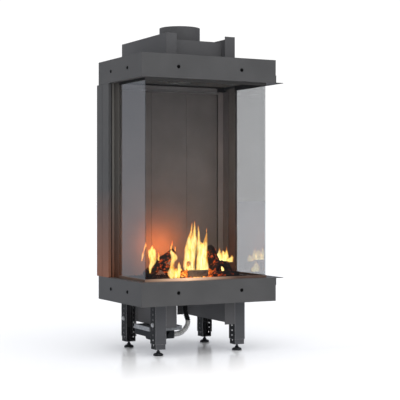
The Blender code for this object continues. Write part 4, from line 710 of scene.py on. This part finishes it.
# Every stone's corners are its middle + turn (size * corner * (1 + a chance of "rough" either way)), at once
def granuleMesh():
    look = granules
    chance = np.random.default_rng(look["seed"])
    left, front, margin = fireBed["left"], fireBed["front"], look["margin"]
    u = chance.uniform(left + margin, left + fireBed["width"] - margin, look["count"])
    v = chance.uniform(front + margin, front + fireBed["depth"] - margin, look["count"])
    left, right, front, rear = look["clearing"]
    clear = ~((u > left) & (u < right) & (v > front) & (v < rear))
    u, v = u[clear], v[clear]
    out = look["wide"] * chance.random(look["heaped"]) ** 1.5
    beside = np.where(chance.random(look["heaped"]) < 0.5, left - out, right + out)
    lift = look["high"] * (1 - out / look["wide"]) * chance.random(look["heaped"])
    u = np.concatenate([u, beside])
    v = np.concatenate([v, chance.uniform(*look["heap"], look["heaped"])])
    lift = np.concatenate([np.zeros(len(u) - look["heaped"]), lift])
    count = len(u)
    size = look["least"] + (look["most"] - look["least"]) * chance.random(count) ** 2
    stretch = chance.uniform(*look["stretch"], (count, 1, 3))
    rough = 1 + chance.uniform(-look["rough"], look["rough"], (count, len(stone), 1))
    corners = stone[None] * rough * stretch * size[:, None, None]
    spin = chance.uniform(0, fullTurn, count)
    tilt = chance.uniform(-look["lean"], look["lean"], count)
    x = corners[..., 0] * np.cos(spin)[:, None] - corners[..., 1] * np.sin(spin)[:, None]
    y = corners[..., 0] * np.sin(spin)[:, None] + corners[..., 1] * np.cos(spin)[:, None]
    z = corners[..., 2] * np.cos(tilt)[:, None] + x * np.sin(tilt)[:, None]
    level = look["top"] + look["sunk"] * size + lift
    points = np.stack([u[:, None] + x, v[:, None] + y, level[:, None] + z], axis=-1)
    faces = stoneFaces[None] + len(stone) * np.arange(count)[:, None, None]
    mesh = bpy.data.meshes.new("emberGranules")
    mesh.from_pydata(place(points).reshape(-1, 3).tolist(), [], faces.reshape(-1, 3).tolist())
    return mesh


dress("emberGranules", granuleMesh(), "ember_granules", "casing", sharp=20)
print("embers made")


# Flames

# Each flame stands in one upright plane, v, as (height, left edge, right edge) stations from foot to tip
flames = {
    "centreLeft": (135, ((328, 251, 274), (342, 249, 272), (350, 248.4, 267), (362, 248.4, 267),
                         (372, 249, 274), (412, 253, 279), (444, 260, 283), (471, 271, 285.4),
                         (503, 282, 288.8), (531, 288, 289))),
    "centreMiddle": (137, ((327, 266, 302), (342, 268, 302), (350, 280, 302), (362, 280, 302),
                           (372, 268, 301.6), (408, 269, 305), (436, 276, 310), (468, 286, 307.4),
                           (500, 293.4, 304.4), (534, 300, 301))),
    "centreRight": (133, ((326, 305, 342), (362, 306, 342), (403, 308, 342), (433, 307, 336),
                          (448, 308, 324), (484, 309.6, 320), (516, 314, 315))),
    "centreFar": (135, ((327, 323.5, 366), (354, 326, 362), (386, 331, 358.5), (426, 331, 357),
                        (446, 338, 356.6), (462, 344, 356.4), (480, 349.4, 356.2), (502, 354, 355))),
    "leftTall": (120, ((325, 90.5, 95), (346, 87.4, 103.6), (368, 91, 119), (393, 85, 119), (413, 82, 116),
                       (423, 93, 111), (435, 103.5, 105))),
    "leftSmall": (120, ((374, 127, 136.5), (388, 125, 133.8), (409, 128, 129))),
    "thinLeft": (150, ((415, 198, 204), (433, 200, 206.6), (455, 205, 206))),
    "thinRight": (150, ((405, 218, 223), (417, 215.6, 221), (432, 214, 215))),
    "middleLeft": (85, ((303.8, 163.4, 178.4), (318, 156.3, 186.3), (329.9, 154.6, 188.1),
                        (345.6, 163.4, 182.3), (367.3, 165.6, 183.7), (381, 167.8, 194.3),
                        (394.9, 166, 192.5), (408.9, 161.6, 178.4), (420.8, 169.6, 172.2))),
    "middleCentre": (88, ((302.9, 180.3, 200.2), (329, 182.5, 200.2), (340.9, 186.9, 195.8),
                          (350.8, 190.5, 192.3))),
    "middleRight": (84, ((303.7, 191.1, 207.1), (321.1, 187.6, 211.5), (332.9, 192, 211.5),
                         (344.8, 194.7, 211.1), (356.7, 196.4, 208.9), (370.5, 203.5, 205.8))),
    "leftWisp": (230, ((367.4, 105.3, 111.6), (387.4, 108, 117.8), (411.6, 112.4, 121.3),
                       (427.6, 118.7, 127.6), (443.7, 124, 126.3))),
    "rightFirst": (225, ((357.9, 439.2, 470.1), (370.4, 435.9, 472.5), (382.9, 446.3, 470.1),
                         (395.3, 454.8, 468.2), (407.8, 458.6, 465.3), (420.3, 461.5, 462.9))),
    "rightSecond": (226, ((357.3, 456.3, 494.5), (373.9, 456.3, 499.3), (386.4, 465.9, 494.5),
                          (394.8, 473, 487.4), (403.2, 478.3, 480.2))),
    "rightThird": (227, ((356.7, 480.7, 509.5), (373.4, 483.1, 509.5), (390.2, 487.9, 504.7),
                         (402.7, 492.2, 499.9), (415.3, 493.2, 498), (425.8, 494.6, 495.6))),
    "rightFar": (228, ((351.9, 500.4, 529.3), (364.4, 505.2, 531.7), (372.7, 514.9, 529.3),
                       (381, 523.5, 525))),
    "rightInner": (196, ((311.4, 435.2, 468.4), (322.2, 430.5, 470.3), (332.7, 433.3, 461.3),
                         (345.6, 441.8, 446.6))),
    "glowLow": (141, ((341, 267, 271.5), (358, 265.5, 270.5), (374, 269, 270))),
    "glowMiddle": (141, ((341, 271.8, 276), (358, 270.8, 275.4), (375, 273, 274))),
    "glowHigh": (141, ((341, 276.4, 281), (358, 275.8, 281), (374, 277, 278))),
    "rightBehind": (250, ((305.5, 458.9, 498.2), (318, 458.9, 500.2), (330.7, 464.7, 491.5),
                          (350.9, 476.1, 478.1))),
}
flameForm = {"rings": 40, "sides": 20, "thick": 0.55, "most": 9.0, "soft": 4.5, "sway": 2.5}


# A flame: a lens of half width w(s) and half thickness min(0.55 w, 9 mm), carried up from foot to tip and
# swaying by 2.5 sin(7 s). The core mark is w (1 - |cos a|) / 4.5 mm, kept from 0 to 1, and rise is s
def flameRows(plane, stations):
    height, left, right = np.array(stations, dtype=float).T
    share = np.linspace(0, 1, flameForm["rings"])
    z, lowU, highU = along(height, share), along(left, share), along(right, share)
    half = np.maximum((highU - lowU) / 2, 0.4)
    depth = np.minimum(half * flameForm["thick"], flameForm["most"])
    angle = turns(flameForm["sides"])
    u = (lowU + highU)[:, None] / 2 + half[:, None] * np.cos(angle)
    v = plane + flameForm["sway"] * np.sin(7 * share)[:, None] + depth[:, None] * np.sin(angle)
    rows = np.stack([u, v, np.repeat(z[:, None], flameForm["sides"], axis=1)], axis=-1)
    core = np.clip(half[:, None] * (1 - np.abs(np.cos(angle))) / flameForm["soft"], 0, 1)
    rise = np.repeat(share[:, None], flameForm["sides"], axis=1)
    return rows, {"core": core, "rise": rise}


for name, (plane, stations) in flames.items():
    rows, marks = flameRows(plane, stations)
    skin(f"flame_{name}", place(rows), "flame", "casing", marks, sharp=180)
print("flames made:", len(flames))


# Studio

# The studio's own light, for matt surfaces and for mirrors. Mirrors see it dark in front of the object and
# pale behind it, as in a studio whose camera side is unlit. "skyDepths" are how far back a ray points where
# that starts and ends, and "floorDepths" are metres behind the object's middle
studio = {"sky": 0.82, "camera": 1.06, "front": 0.08, "behind": 0.36, "mirrorTint": (0.90, 0.96, 1.08, 1.0),
          "skyDepths": (-0.5, 0.9), "floorDepths": (-1.5, 2.0)}


# The level that a mirror sees, by how far back the ray points or the floor lies
def mirrorLevel(tree, depth, depths):
    return addNode(tree, "MapRange", {"Value": depth, "From Min": depths[0], "From Max": depths[1],
                   "To Min": studio["front"], "To Max": studio["behind"]}, interpolation_type="SMOOTHSTEP")


# White seamless paper with a dull shine, which fades between "polished" and "foldHighlight_and_dullFloorEdge"
# metres in front of the object's middle. Mirrors see the same studio in it as round them
floorLook = {"colour": "#f6f7f9", "shine": 0.32, "foldHighlight_and_dullFloorEdge": -0.72, "polished": -0.28, "roughness": 0.18,
             "sheen": (2.72, 2.62, 2.5, 1.0), "half": 60.0}


def seamlessPaper(tree, coordinates, look):
    spot = addNode(tree, "SeparateXYZ", {0: coordinates.outputs["Object"]}).outputs["Y"]
    paper = addNode(tree, "BsdfDiffuse", {"Color": fromHex(look["colour"])})
    sheen = addNode(tree, "BsdfGlossy", {"Color": look["sheen"], "Roughness": look["roughness"]})
    polish = addNode(tree, "MapRange", {"Value": spot, "From Min": look["foldHighlight_and_dullFloorEdge"], "From Max": look["polished"],
                     "To Max": look["shine"]})
    surface = addNode(tree, "MixShader", {0: polish, 1: paper, 2: sheen})
    mirrored = addNode(tree, "Emission", {"Color": studio["mirrorTint"],
                       "Strength": mirrorLevel(tree, spot, studio["floorDepths"])})
    glossy = addNode(tree, "LightPath").outputs["Is Glossy Ray"]
    return addNode(tree, "MixShader", {0: glossy, 1: surface, 2: mirrored})


reach = floorLook["half"]
mesh = bpy.data.meshes.new("studioFloor")
corners = [(-reach, -reach, 0), (reach, -reach, 0), (reach, reach, 0), (-reach, reach, 0)]
mesh.from_pydata(corners, [], [(0, 1, 2, 3)])
mesh.materials.append(makeFinish("seamlessPaper", seamlessPaper, floorLook))
floor = bpy.data.objects.new("studioFloor", mesh)
bpy.context.scene.collection.objects.link(floor)

# The world: white for the camera, a level sky for matt surfaces, and the mirrors' studio
world = bpy.data.worlds.new("studio")
bpy.context.scene.world = world
world.use_nodes = True
tree = world.node_tree
tree.nodes.clear()
path = addNode(tree, "LightPath")
parts = addNode(tree, "SeparateXYZ", {0: addNode(tree, "TexCoord").outputs["Generated"]})
depth = mirrorLevel(tree, parts.outputs["Y"], studio["skyDepths"])
tinted = addNode(tree, "VectorMath", {0: studio["mirrorTint"][:3], 1: depth}, operation="MULTIPLY")
forMirrors = addNode(tree, "Mix", {0: path.outputs["Is Glossy Ray"], 6: (*[studio["sky"]] * 3, 1), 7: tinted},
                     data_type="RGBA")
level = addNode(tree, "Mix", {0: path.outputs["Is Camera Ray"], 6: forMirrors.outputs[2],
                7: (*[studio["camera"]] * 3, 1)}, data_type="RGBA")
light = addNode(tree, "Background", {"Color": level.outputs[2]})
addNode(tree, "OutputWorld", {"Surface": light})

# Lamps: a wide soft top light, and the fire's own warm light
lamps = {
    "topLight": {"kind": "SUN", "at": (0.0, -1.5, 3.0), "turn": 25, "wide": 66, "power": 1.3,
                 "colour": (1, 1, 1)},
    "backGlow": {"kind": "SPOT", "at": place((258, 268, 420)), "turn": 90, "wide": 172, "size": 0.03,
                 "power": 2.85, "colour": (1.0, 0.175, 0.008)},
    "frontGlow": {"kind": "POINT", "at": place((225, 62, 345)), "turn": 0, "size": 0.02, "power": 0.35,
                  "colour": (1.0, 0.55, 0.26)},
    "fireGlowMiddle": {"kind": "POINT", "at": place((300, 120, 420)), "turn": 0, "size": 0.05, "power": 0.6,
                       "colour": (1.0, 0.42, 0.14)},
    "fireGlowRight": {"kind": "POINT", "at": place((440, 60, 740)), "turn": 0, "size": 0.04, "power": 0.95,
                      "colour": (1.0, 0.80, 0.66)},
}
for name, look in lamps.items():
    lamp = bpy.data.lights.new(name, look["kind"])
    lamp.energy = look["power"]
    lamp.color = look["colour"]
    if look["kind"] == "SUN":
        lamp.angle = math.radians(look["wide"])
    else:
        lamp.shadow_soft_size = look["size"]
    if look["kind"] == "SPOT":
        lamp.spot_size = math.radians(look["wide"])
        lamp.spot_blend = 1.0
    holder = bpy.data.objects.new(name, lamp)
    holder.location = look["at"]
    holder.rotation_euler = (math.radians(look["turn"]), 0, 0)
    bpy.context.scene.collection.objects.link(holder)

# The camera stands level, left of the front, and its shift frames the object as the photograph does
view = {"at": (-2.169, -4.254, 0.648), "turn": -27.749, "lens": 103.742, "shift": -0.02143, "sensor": 36,
        "far": 200}
camera = bpy.data.cameras.new("studioCamera")
camera.lens = view["lens"]
camera.sensor_width = view["sensor"]
camera.shift_y = view["shift"]
camera.clip_end = view["far"]
holder = bpy.data.objects.new("studioCamera", camera)
holder.location = view["at"]
holder.rotation_euler = (math.radians(90), 0, math.radians(view["turn"]))
bpy.context.scene.collection.objects.link(holder)
bpy.context.scene.camera = holder
bpy.context.scene.view_settings.view_transform = "Standard"
print("studio set")
